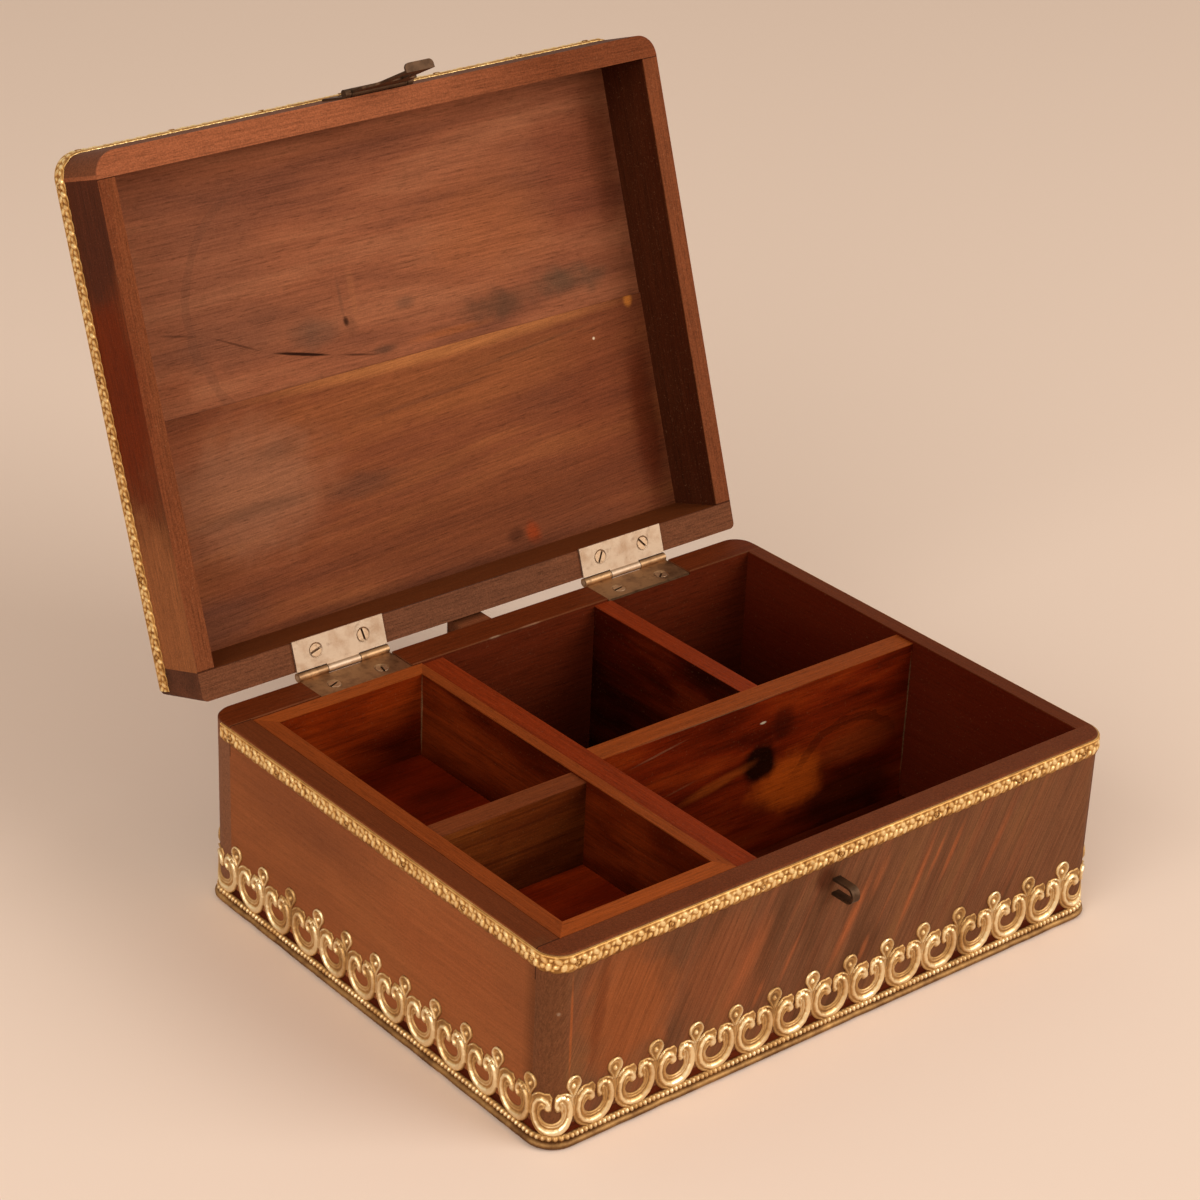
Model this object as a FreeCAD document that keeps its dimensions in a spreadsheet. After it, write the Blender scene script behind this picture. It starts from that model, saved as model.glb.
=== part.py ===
import FreeCAD, Part
import Sketcher
import math
import os
import re

# A hinged wooden jewellery box with a lift-out tray, brass trim, a hasp and a staple.
# The origin is the middle of the underside, +Z is up and the front faces -Y.
# The lid is modelled shut, in the row of names below, and then swung open on its hinges.

doc = FreeCAD.newDocument("JewelleryBox")
sheet = doc.addObject("Spreadsheet::Sheet", "Sizes")

# Driving dimensions, in millimetres and degrees
sizes = {
    "case_width": 240.0,
    "case_depth": 188.0,
    "case_height": 71.3,
    "corner_radius": 8.0,
    "lid_back_corner": 2.0,
    "rim_bevel": 0.6,
    "bottom_thickness": 8.0,
    "front_board": 8.3,
    "back_board": 12.7,
    "left_board": 8.8,
    "right_board": 6.6,
    "divider_drop": 1.2,
    "bay_width": 72.0,
    "bay_divider": 9.2,
    "cross_divider": 8.4,
    "cross_divider_place": 87.0,
    "rear_divider": 7.8,
    "rear_compartment": 69.0,
    "ledge_width": 5.0,
    "ledge_height": 5.0,
    "tray_gap": 0.5,
    "tray_drop": 0.3,
    "tray_inside": 32.7,
    "tray_bottom": 3.0,
    "tray_front_wall": 6.8,
    "tray_back_wall": 6.0,
    "tray_left_wall": 6.4,
    "tray_right_wall": 4.2,
    "tray_divider": 8.0,
    "tray_divider_place": 78.2,
    "tray_divider_drop": 1.0,
    "lid_gap": 0.4,
    "lid_height": 28.3,
    "lid_front_rail": 8.5,
    "lid_back_rail": 10.4,
    "lid_side_rail": 6.7,
    "lid_front_top": 3.0,
    "lid_rear_top": 3.6,
    "lid_top_joint": 95.3,
    "lid_open": 108.8,
    "axis_behind": 1.98,
    "knuckle_radius": 1.65,
    "hinge_pin_radius": 0.9,
    "hinge_length": 38.4,
    "hinge_middle": 13.6,
    "hinge_play": 0.3,
    "sinking_play": 0.6,
    "leaf_thickness": 0.85,
    "lid_leaf_width": 12.8,
    "left_hinge_place": 57.2,
    "right_hinge_place": 184.9,
    "screw_spread": 20.2,
    "screw_inset": 5.2,
    "screw_head_radius": 2.8,
    "screw_shank_radius": 1.4,
    "screw_length": 9.0,
    "screw_tip": 3.0,
    "fit": 0.05,
    "hasp_place": 116.0,
    "hasp_width": 29.0,
    "hasp_thickness": 0.8,
    "hasp_leaf_height": 14.0,
    "hasp_knuckle_radius": 1.5,
    "hasp_pin_radius": 0.75,
    "hasp_stand_off": 1.65,
    "hasp_axis_rise": 0.5,
    "flap_thickness": 0.9,
    "flap_share": 0.81,
    "flap_tip_share": 0.41,
    "flap_round_share": 0.22,
    "flap_length": 28.0,
    "flap_shoulder": 9.5,
    "flap_lip": 2.4,
    "flap_lip_round": 1.8,
    "flap_swing": 9.0,
    "flap_slot_width": 5.0,
    "flap_slot_length": 10.0,
    "flap_slot_top": 12.2,
    "staple_width": 3.2,
    "staple_strap": 0.9,
    "staple_reach": 9.6,
    "staple_height": 6.2,
    "staple_leg": 6.0,
    "staple_bend": 3.0,
    "staple_middle": 55.7,
    "stop_place": 114.8,
    "stop_width": 13.2,
    "stop_depth": 9.0,
    "stop_height": 26.0,
    "stop_gap": 0.3,
    "trim_thickness": 1.1,
    "trim_height": 5.6,
    "trim_drop": 0.8,
    "lid_trim_height": 6.0,
    "foot_gap": 0.2,
    "ledge_band_height": 3.1,
    "ledge_band_thickness": 2.2,
    "bead_band_height": 2.5,
    "bead_band_thickness": 1.6,
    "scroll_height": 20.0,
    "scroll_thickness": 1.1,
    "scroll_corner_reach": 1.95,
    "overrun": 1.0,
}

# Repeats of the scroll band between two corners
front_scrolls = 13
side_scrolls = 10

# Sides of a screw, which repeats and so has few, and the turn between two flats of a corner scroll
screw_sides = 12
bend_angle = 22.5

# Sizes that follow from the ones above
derived = {
    "left": "-case_width / 2",
    "front": "-case_depth / 2",
    "back": "case_depth / 2",
    "rim": "case_height",
    "wall_height": "case_height - bottom_thickness",
    "inner_depth": "case_depth - front_board - back_board",
    "divider_height": "wall_height - divider_drop",
    "bay_left": "left + left_board",
    "bay_front": "front + front_board",
    "bay_back": "back - back_board",
    "divider_left": "bay_left + bay_width",
    "divider_right": "divider_left + bay_divider",
    "right_inner": "case_width / 2 - right_board",
    "cross_front": "front + cross_divider_place",
    "cross_back": "cross_front + cross_divider",
    "rear_left": "divider_right + rear_compartment",
    "tray_top": "rim - tray_drop",
    "tray_floor": "tray_top - tray_inside",
    "tray_under": "tray_floor - tray_bottom",
    "tray_x": "bay_left + tray_gap",
    "tray_y": "bay_front + tray_gap",
    "tray_length": "inner_depth - 2 * tray_gap",
    "tray_width": "bay_width - 2 * tray_gap",
    "lid_rim": "rim + lid_gap",
    "lid_crown": "lid_rim + lid_height",
    "lid_inner_left": "left + lid_side_rail",
    "lid_inner_right": "case_width / 2 - lid_side_rail",
    "lid_inner_front": "front + lid_front_rail",
    "lid_inner_back": "back - lid_back_rail",
    "lid_joint": "front + lid_top_joint",
    "axis_y": "back + axis_behind",
    "axis_z": "rim + lid_gap / 2",
    "base_leaf_width": "axis_behind + back_board",
    "base_leaf_under": "axis_z - knuckle_radius",
    "sinking_depth": "rim - base_leaf_under",
    "hinge_outer": "(hinge_length - hinge_middle) / 2 - hinge_play",
    "hasp_x": "left + hasp_place",
    "hasp_y": "front - hasp_stand_off",
    "hasp_z": "lid_rim + hasp_axis_rise",
    "flap_width": "hasp_width * flap_share",
    "hasp_outer": "(hasp_width - flap_width) / 2 - hinge_play",
    "flap_front": "hasp_y - flap_thickness / 2",
    "flap_tip_width": "hasp_width * flap_tip_share",
    "flap_round": "(flap_width - flap_tip_width) * flap_round_share",
    "slot_top": "hasp_z - flap_slot_top",
    "staple_low": "staple_middle - staple_height / 2",
    "stop_x": "left + stop_place",
    "heel": "lid_gap / 2 * sin(lid_open) - axis_behind * cos(lid_open)",
    "heel_rise": "axis_behind * sin(lid_open) + lid_gap / 2 * cos(lid_open)",
    "heel_to_stop": "stop_depth - axis_behind - heel",
    "stop_top": "axis_z + heel_rise + heel_to_stop / tan(lid_open) - stop_gap / sin(lid_open)",
    "trim_top": "rim - trim_drop",
    "lid_trim_low": "lid_crown - lid_trim_height",
    "front_trim": "front - trim_thickness",
    "bead_low": "foot_gap + ledge_band_height",
    "scroll_low": "bead_low + bead_band_height",
    "straight_end": "case_width / 2 - corner_radius",
    "side_end": "case_depth / 2 - corner_radius",
    "front_run": "2 * straight_end - 2 * scroll_corner_reach",
    "side_run": "2 * side_end - 2 * scroll_corner_reach",
    "front_pitch": "front_run / %d" % front_scrolls,
    "side_pitch": "side_run / %d" % side_scrolls,
    "corner_run": "corner_radius * pi / 2 + 2 * scroll_corner_reach",
}

rows = dict(sizes)
rows.update({name: "=" + formula for name, formula in derived.items()})
for row, (name, value) in enumerate(rows.items(), start=1):
    sheet.set("A%d" % row, name)
    sheet.set("B%d" % row, str(value))
    sheet.setAlias("B%d" % row, name)
doc.recompute()

ends = []


def bound(text):
    """The expression with each name looked up in the sheet."""
    return re.sub(r"[a-z_]+", lambda m: "Sizes." + m.group() if m.group() in rows else m.group(), text)


def size(name):
    return float(sheet.get(name))


# The swing of the lid about its hinges, and of the flap about its own pin before that
lid_swing = "placement(vector(0; 0; 0); rotation(vector(1; 0; 0); -lid_open); vector(0; axis_y; axis_z))"
flap_turn = "placement(vector(0; 0; 0); rotation(vector(1; 0; 0); -flap_swing); vector(0; hasp_y; hasp_z))"
poses = {
    "base": None,
    "lid": lid_swing,
    "flap": lid_swing + " * " + flap_turn,
}

# The turn that lays a cylinder along each direction
directions = {
    "up": FreeCAD.Rotation(),
    "right": FreeCAD.Rotation(FreeCAD.Vector(0, 1, 0), 90),
    "inward": FreeCAD.Rotation(FreeCAD.Vector(1, 0, 0), -90),
    "turned": FreeCAD.Rotation(FreeCAD.Vector(0, 0, 1), 90),
    "down": FreeCAD.Rotation(FreeCAD.Vector(1, 0, 0), 180),
}


def settle(obj, label, pose="base"):
    """Gives a finished sub-part its name and its place."""
    obj.Label = label
    if poses[pose]:
        obj.setExpression("Placement", bound(poses[pose]))
    ends.append(obj)
    return obj


def bind(obj, values, at, turn="up"):
    for name, text in values.items():
        obj.setExpression(name, bound(text))
    obj.Placement = FreeCAD.Placement(FreeCAD.Vector(), directions[turn])
    for letter, text in zip("xyz", at):
        obj.setExpression("Placement.Base." + letter, bound(text))
    return obj


def block(body, kind, at, lengths):
    """An added or cut block from its low corner."""
    feature = body.newObject("PartDesign::" + kind + "Box", body.Name + "_" + kind)
    return bind(feature, dict(zip(("Length", "Width", "Height"), lengths)), at)


def rod(body, kind, at, radius, length, turn="up"):
    """An added or cut cylinder from the middle of its first end."""
    feature = body.newObject("PartDesign::" + kind + "Cylinder", body.Name + "_" + kind)
    return bind(feature, {"Radius": radius, "Height": length}, at, turn)


def funnel(body, at, low, high, length, turn="up"):
    """A cut cone from the middle of its first end."""
    feature = body.newObject("PartDesign::SubtractiveCone", body.Name + "_funnel")
    return bind(feature, {"Radius1": low, "Radius2": high, "Height": length}, at, turn)


def edges(feature, test, skip=None):
    """The edges whose both ends pass the test, without those whose both ends are to be skipped."""
    doc.recompute()
    found = []
    for number, edge in enumerate(feature.Shape.Edges, start=1):
        points = [vertex.Point for vertex in edge.Vertexes]
        if all(test(point) for point in points) and not (skip and all(skip(point) for point in points)):
            found.append("Edge%d" % number)
    return found


def running(feature, way, test):
    """The straight edges along one axis whose start passes the test."""
    doc.recompute()
    found = []
    for number, edge in enumerate(feature.Shape.Edges, start=1):
        first, last = edge.Vertexes[0].Point, edge.Vertexes[-1].Point
        others = [letter for letter in "xyz" if letter != way]
        aside = sum(abs(getattr(first, letter) - getattr(last, letter)) for letter in others)
        if aside < size("fit") / 100 and first.distanceToPoint(last) > size("fit") and test(first):
            found.append("Edge%d" % number)
    return found


def upright(feature, test):
    return running(feature, "z", test)


def rounded(body, feature, names, radius, kind="Fillet"):
    dress = body.newObject("PartDesign::" + kind, body.Name + "_" + kind)
    dress.Base = (feature, names)
    dress.setExpression("Radius" if kind == "Fillet" else "Size", bound(radius))
    return dress


def plank(name, at, lengths, pose="base"):
    """A body that starts as one block."""
    body = doc.addObject("PartDesign::Body", name)
    block(body, "Additive", at, lengths)
    return settle(body, name, pose)


def near(value, name, sign=1):
    return abs(value - sign * size(name)) < 1e-6


def round_corners(body, ends_wanted, radius="corner_radius"):
    """Rounds the outer corners at the front, at the back, or both."""
    def outer(point):
        side = abs(abs(point.x) - size("case_width") / 2) < 1e-6
        return side and any(near(point.y, end) for end in ends_wanted)
    return rounded(body, body.Tip, upright(body.Tip, outer), radius)


def bevel_rim(body, inner):
    """Takes the outer arris off along the rim, but not along the inner face."""
    names = edges(body.Tip, lambda point: near(point.z, "rim"), inner)
    return rounded(body, body.Tip, names, "rim_bevel", "Chamfer")


# Bottom panel, under the four walls
bottom = plank("bottom_panel", ("left", "front", "0"), ("case_width", "case_depth", "bottom_thickness"))
round_corners(bottom, ("front", "back"))

# The four walls: front and back run the full width, with the side boards between them
front_wall = plank("front_board", ("left", "front", "bottom_thickness"),
                   ("case_width", "front_board", "wall_height"))
round_corners(front_wall, ("front",))
bevel_rim(front_wall, lambda point: near(point.y, "bay_front"))

back_wall = plank("back_board", ("left", "bay_back", "bottom_thickness"),
                  ("case_width", "back_board", "wall_height"))
round_corners(back_wall, ("back",))
bevel_rim(back_wall, lambda point: near(point.y, "bay_back"))

left_wall = plank("left_board", ("left", "bay_front", "bottom_thickness"),
                  ("left_board", "inner_depth", "wall_height"))
rounded(left_wall, left_wall.Tip,
        edges(left_wall.Tip, lambda point: near(point.z, "rim") and near(point.x, "left")),
        "rim_bevel", "Chamfer")

right_wall = plank("right_board", ("right_inner", "bay_front", "bottom_thickness"),
                   ("right_board", "inner_depth", "wall_height"))
rounded(right_wall, right_wall.Tip,
        edges(right_wall.Tip, lambda point: near(point.z, "rim") and near(point.x, "left", -1)),
        "rim_bevel", "Chamfer")

# Dividers and the ledges that carry the tray
plank("bay_divider", ("divider_left", "bay_front", "bottom_thickness"),
      ("bay_divider", "inner_depth", "divider_height"))
plank("cross_divider", ("divider_right", "cross_front", "bottom_thickness"),
      ("right_inner - divider_right", "cross_divider", "divider_height"))
plank("rear_divider", ("rear_left", "cross_back", "bottom_thickness"),
      ("rear_divider", "bay_back - cross_back", "divider_height"))
plank("left_ledge", ("bay_left", "bay_front", "tray_under - ledge_height"),
      ("ledge_width", "inner_depth", "ledge_height"))
plank("right_ledge", ("divider_left - ledge_width", "bay_front", "tray_under - ledge_height"),
      ("ledge_width", "inner_depth", "ledge_height"))
plank("stop_block", ("stop_x - stop_width / 2", "back", "stop_top - stop_height"),
      ("stop_width", "stop_depth", "stop_height"))


def value_of(text):
    return float(sheet.evalExpression(bound(text)))


def hold(sketch, index, end, at):
    """Two dimensions that hold one point of the sketch."""
    for kind, axis, text in (("DistanceX", -2, at[0]), ("DistanceY", -1, at[1])):
        if text == "0":
            sketch.addConstraint(Sketcher.Constraint("PointOnObject", index, end, axis))
            continue
        distance = Sketcher.Constraint(kind, -1, 1, index, end, value_of(text))
        number = sketch.addConstraint(distance)
        sketch.setExpression("Constraints[%d]" % number, bound(text))


def draw(sketch, wires):
    """Closed wires, each a run of corners, with a point to pass through where an arc follows."""
    for wire in wires:
        points = [FreeCAD.Vector(value_of(corner[0]), value_of(corner[1]), 0) for corner in wire]
        drawn = []
        for number, corner in enumerate(wire):
            start, stop = points[number], points[(number + 1) % len(wire)]
            if len(corner) == 2:
                drawn.append((sketch.addGeometry(Part.LineSegment(start, stop), False), 1, 2))
                continue
            middle = FreeCAD.Vector(value_of(corner[2]), value_of(corner[3]), 0)
            arc = Part.Arc(start, middle, stop).toShape().Curve
            forward = (middle - start).cross(stop - middle).z > 0
            low, high = (start, stop) if forward else (stop, start)
            angles = [math.atan2(p.y - arc.Center.y, p.x - arc.Center.x) for p in (low, high)]
            if angles[1] < angles[0]:
                angles[1] += 2 * math.pi
            circle = Part.Circle(arc.Center, FreeCAD.Vector(0, 0, 1), arc.Radius)
            index = sketch.addGeometry(Part.ArcOfCircle(circle, angles[0], angles[1]), False)
            drawn.append((index, 1, 2) if forward else (index, 2, 1))
            mark = sketch.addGeometry(Part.Point(middle), True)
            hold(sketch, mark, 1, corner[2:])
            sketch.addConstraint(Sketcher.Constraint("PointOnObject", mark, 1, index))
        for number, corner in enumerate(wire):
            index, first, last = drawn[number]
            following = drawn[(number + 1) % len(wire)]
            sketch.addConstraint(Sketcher.Constraint("Coincident", index, last, following[0], following[1]))
            hold(sketch, index, first, corner[:2])
    return sketch


# One scroll of the band, as shares of its pitch and of its height, from its low left corner
scroll_outer_shares = (
    (0.0, 0.26),
    (0.183, 0.0),
    (0.817, 0.0),
    (1.0, 0.26),
    (1.0, 1.0),
    (0.85, 0.93),
    (0.852, 0.71),
    (0.7, 0.74),
    (0.5, 0.625),
    (0.3, 0.74),
    (0.148, 0.71),
    (0.15, 0.93),
    (0.0, 1.0),
)
scroll_hole_shares = (
    (0.36, 0.28),
    (0.64, 0.28),
    (0.74, 0.5),
    (0.66, 0.56),
    (0.61, 0.44),
    (0.5, 0.56),
    (0.39, 0.44),
    (0.34, 0.56),
    (0.26, 0.5),
)


def along(pitch):
    """Turns a share into a length along a straight side."""
    return lambda share: "%s * %s" % (share, pitch) if share else "0"


def round_bend(share):
    """Turns a share into the distance to the side of a corner's diagonal, as the arc shows it."""
    off_middle = share - 0.5
    if abs(off_middle) * size("corner_run") <= size("corner_radius") * math.pi / 4:
        return "corner_radius * sin(%s * corner_run / corner_radius * 180 / pi)" % round(off_middle, 4)
    sign = "-" if off_middle < 0 else ""
    return "%s(corner_radius + (%s * corner_run - corner_radius * pi / 4)) * cos(45)" % (
        sign, round(abs(off_middle), 4))


def motif(spread, reach=""):
    """The scroll's two wires, spread sideways by the given rule."""
    wires = []
    for table in (scroll_outer_shares, scroll_hole_shares):
        wire = []
        for row in table:
            corner = []
            for place, share in enumerate(row):
                up = place % 2
                corner.append(("%s * scroll_height" % share if share else "0") if up else spread(share))
            wire.append(tuple(corner))
        wires.append(wire)
    if reach:
        low, high = wires[0][3], wires[0][4]
        far = "%s + %s" % (low[0], reach)
        wires[0][4:4] = [(far, low[1]), (far, high[1])]
        low, high = wires[0][0], wires[0][-1]
        far = "%s - %s" % (low[0], reach)
        wires[0] += [(far, high[1]), (far, low[1])]
    return wires


def side_scrolls_plate(name, pitch, run, face, count, turn):
    """A straight plate of scrolls, built on the front and turned to its side."""
    body = doc.addObject("PartDesign::Body", name)
    plane = [f for f in body.Origin.OriginFeatures if f.Role == "XZ_Plane"][0]
    sketch = body.newObject("Sketcher::SketchObject", name + "_scroll")
    sketch.AttachmentSupport = [(plane, "")]
    sketch.MapMode = "FlatFace"
    sketch.setExpression("AttachmentOffset.Base.x", bound("-%s / 2" % run))
    sketch.setExpression("AttachmentOffset.Base.y", bound("scroll_low"))
    sketch.setExpression("AttachmentOffset.Base.z", bound(face))
    draw(sketch, motif(along(pitch)))
    pad = body.newObject("PartDesign::Pad", name + "_pad")
    pad.Profile = sketch
    pad.setExpression("Length", bound("scroll_thickness"))
    pattern = body.newObject("PartDesign::LinearPattern", name + "_row")
    pattern.Originals = [pad]
    pattern.Direction = (sketch, ["H_Axis"])
    pattern.Occurrences = count
    pattern.setExpression("Length", bound("%s - %s" % (run, pitch)))
    body.Tip = pattern
    body.setExpression("Placement", "placement(vector(0; 0; 0); rotation(vector(0; 0; 1); %d))" % turn)
    return settle(body, name)


side_scrolls_plate("scroll_front", "front_pitch", "front_run", "case_depth / 2", front_scrolls, 0)
side_scrolls_plate("scroll_back", "front_pitch", "front_run", "case_depth / 2", front_scrolls, 180)
side_scrolls_plate("scroll_left", "side_pitch", "side_run", "case_width / 2", side_scrolls, 270)
side_scrolls_plate("scroll_right", "side_pitch", "side_run", "case_width / 2", side_scrolls, 90)

# One scroll bent round each corner: its strip seen from above, and its outline seen along the diagonal
def bend_corners(radius):
    """The corners of the strip at one face, flat side by flat side from left to right."""
    corners = []
    for turn in (-1.5, -0.5, 0.5, 1.5):
        reach = "(%s) / cos(%s / 2)" % (radius, bend_angle)
        corners.append(("%s * sin(%s * %s)" % (reach, turn, bend_angle),
                        "-1 * %s * cos(%s * %s)" % (reach, turn, bend_angle)))
    end_x = "(%s + scroll_corner_reach) * cos(45)" % radius
    end_y = "(scroll_corner_reach - %s) * cos(45)" % radius
    return [("-1 * " + end_x, end_y)] + corners + [(end_x, end_y)]


bend_sketch = doc.addObject("Sketcher::SketchObject", "bend_sketch")
outer_corners = bend_corners("(corner_radius + scroll_thickness)")
draw(bend_sketch, [bend_corners("corner_radius") + outer_corners[::-1]])
bend = doc.addObject("Part::Extrusion", "bend")
bend.Base = bend_sketch
bend.Dir = FreeCAD.Vector(0, 0, 1)
bend.Solid = True
bend.setExpression("LengthFwd", bound("scroll_height"))

stamp_sketch = doc.addObject("Sketcher::SketchObject", "stamp_sketch")
draw(stamp_sketch, motif(round_bend, "scroll_thickness"))
stamp_sketch.Placement = FreeCAD.Placement(FreeCAD.Vector(), FreeCAD.Rotation(FreeCAD.Vector(1, 0, 0), 90))
stamp = doc.addObject("Part::Extrusion", "stamp")
stamp.Base = stamp_sketch
stamp.Dir = FreeCAD.Vector(0, -1, 0)
stamp.Solid = True
stamp.setExpression("LengthFwd", bound("2 * corner_radius + scroll_thickness"))

corner_turns = {
    "scroll_front_left": ("-straight_end", "-side_end", 315),
    "scroll_front_right": ("straight_end", "-side_end", 45),
    "scroll_back_right": ("straight_end", "side_end", 135),
    "scroll_back_left": ("-straight_end", "side_end", 225),
}
for name, (x, y, turn) in corner_turns.items():
    corner = doc.addObject("Part::Common", name)
    corner.Base = bend
    corner.Tool = stamp
    corner.setExpression("Placement", bound(
        "placement(vector(%s; %s; scroll_low); rotation(vector(0; 0; 1); %d))" % (x, y, turn)))
    settle(corner, name)


def all_round(name, thickness, low, height):
    """A strip round all four sides of the case."""
    body = plank(name, ("left - " + thickness, "front - " + thickness, low),
                 ("case_width + 2 * " + thickness, "case_depth + 2 * " + thickness, height))
    block(body, "Subtractive", ("left", "front", low + " - overrun"),
          ("case_width", "case_depth", height + " + 2 * overrun"))
    rounded(body, body.Tip, upright(body.Tip, inside_corner), "corner_radius")
    outside = upright(body.Tip, lambda point: abs(point.x) > size("case_width") / 2 + size("fit"))
    rounded(body, body.Tip, outside, "corner_radius + " + thickness)
    return body


def inside_corner(point):
    return near(abs(point.x), "left", -1) and near(abs(point.y), "front", -1)


all_round("band_ledge", "ledge_band_thickness", "foot_gap", "ledge_band_height")
all_round("bead_strip", "bead_band_thickness", "bead_low", "bead_band_height")

def front_corner(point):
    return near(abs(point.x), "left", -1) and near(point.y, "front")


def trim_strip(name, low, height, length, pose="base"):
    """A strip along the front and both sides, which leaves the back free."""
    body = plank(name, ("left - trim_thickness", "front - trim_thickness", low),
                 ("case_width + 2 * trim_thickness", length + " + trim_thickness", height), pose)
    block(body, "Subtractive", ("left", "front", low + " - overrun"),
          ("case_width", "case_depth + overrun", height + " + 2 * overrun"))
    rounded(body, body.Tip, upright(body.Tip, front_corner), "corner_radius")
    outside = upright(body.Tip, lambda point: near(point.y, "front_trim"))
    rounded(body, body.Tip, outside, "corner_radius + trim_thickness")


trim_strip("base_trim", "trim_top - trim_height", "trim_height", "side_end - front")
trim_strip("lid_trim", "lid_trim_low", "lid_trim_height", "case_depth - lid_back_corner", "lid")


def mitred(name, at, thickness, inner, outer, turn="up"):
    """A tray wall with mitred ends: its width grows from the inner to the outer face, or the other way."""
    body = doc.addObject("PartDesign::Body", name)
    wedge = body.newObject("PartDesign::AdditiveWedge", name + "_wedge")
    bind(wedge, {
        "Xmin": inner[0], "Xmax": inner[1], "X2min": outer[0], "X2max": outer[1],
        "Ymin": "0", "Ymax": thickness,
        "Zmin": "0", "Zmax": "tray_inside", "Z2min": "0", "Z2max": "tray_inside",
    }, at, turn)
    return settle(body, name)


# Lift-out tray
plank("tray_bottom", ("tray_x", "tray_y", "tray_under"), ("tray_width", "tray_length", "tray_bottom"))
whole_width = ("0", "tray_width")
clear_width = ("tray_left_wall", "tray_width - tray_right_wall")
whole_length = ("0", "tray_length")
clear_length = ("tray_front_wall", "tray_length - tray_back_wall")
mitred("tray_front_wall", ("tray_x", "tray_y", "tray_floor"), "tray_front_wall", whole_width, clear_width)
mitred("tray_back_wall", ("tray_x", "tray_y + tray_length - tray_back_wall", "tray_floor"),
       "tray_back_wall", clear_width, whole_width)
mitred("tray_left_wall", ("tray_x + tray_left_wall", "tray_y", "tray_floor"),
       "tray_left_wall", clear_length, whole_length, "turned")
mitred("tray_right_wall", ("tray_x + tray_width", "tray_y", "tray_floor"),
       "tray_right_wall", whole_length, clear_length, "turned")
plank("tray_divider", ("tray_x + tray_left_wall", "front + tray_divider_place", "tray_floor"),
      ("tray_width - tray_left_wall - tray_right_wall", "tray_divider", "tray_inside - tray_divider_drop"))

# Lid: four rails, with two boards let in between them
lid_front_rail = plank("lid_front_rail", ("left", "front", "lid_rim"),
                       ("case_width", "lid_front_rail", "lid_height"), "lid")
round_corners(lid_front_rail, ("front",))
lid_back_rail = plank("lid_back_rail", ("left", "lid_inner_back", "lid_rim"),
                      ("case_width", "lid_back_rail", "lid_height"), "lid")
round_corners(lid_back_rail, ("back",), "lid_back_corner")
side_rail = ("lid_side_rail", "lid_inner_back - lid_inner_front", "lid_height")
plank("lid_left_rail", ("left", "lid_inner_front", "lid_rim"), side_rail, "lid")
plank("lid_right_rail", ("lid_inner_right", "lid_inner_front", "lid_rim"), side_rail, "lid")
plank("lid_front_top_board", ("lid_inner_left", "lid_inner_front", "lid_crown - lid_front_top"),
      ("lid_inner_right - lid_inner_left", "lid_joint - lid_inner_front", "lid_front_top"), "lid")
plank("lid_rear_top_board", ("lid_inner_left", "lid_joint", "lid_crown - lid_rear_top"),
      ("lid_inner_right - lid_inner_left", "lid_inner_back - lid_joint", "lid_rear_top"), "lid")


def pilot(body, x, y, low, length, radius, turn="up"):
    """A hole for a pin."""
    rod(body, "Subtractive", (x, y, low), radius + " + fit", length, turn)


def screw_hole(body, x, y, low):
    """A hole in the wood for a screw's shank."""
    feature = body.newObject("PartDesign::SubtractivePrism", body.Name + "_screw_hole")
    feature.Polygon = screw_sides
    bind(feature, {"Circumradius": "screw_shank_radius + fit", "Height": "screw_length"}, (x, y, low))


def ring(radius, depth):
    """The corners of one section of a screw."""
    turns = [2 * math.pi * (number + 0.5) / screw_sides for number in range(screw_sides)]
    return [FreeCAD.Vector(radius * math.cos(turn), radius * math.sin(turn), depth) for turn in turns]


def screw(name, x, y, face, way):
    """A countersunk wood screw with few flat faces, from its head through its neck to its tip."""
    shank, length = size("screw_shank_radius"), size("screw_length")
    rings = [
        ring(size("screw_head_radius"), 0),
        ring(shank, size("leaf_thickness")),
        ring(shank, length - size("screw_tip")),
        ring(size("fit"), length),
    ]
    faces = [Part.Face(Part.makePolygon(end + end[:1])) for end in (rings[0], rings[-1])]
    for near_ring, far_ring in zip(rings, rings[1:]):
        for number in range(screw_sides):
            after = (number + 1) % screw_sides
            corners = [near_ring[number], near_ring[after], far_ring[after], far_ring[number]]
            faces.append(Part.Face(Part.makePolygon(corners + corners[:1])))
    whole = doc.addObject("Part::Feature", name)
    whole.Shape = Part.makeSolid(Part.makeShell(faces))
    return bind(whole, {}, (x, y, face), way)


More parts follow.
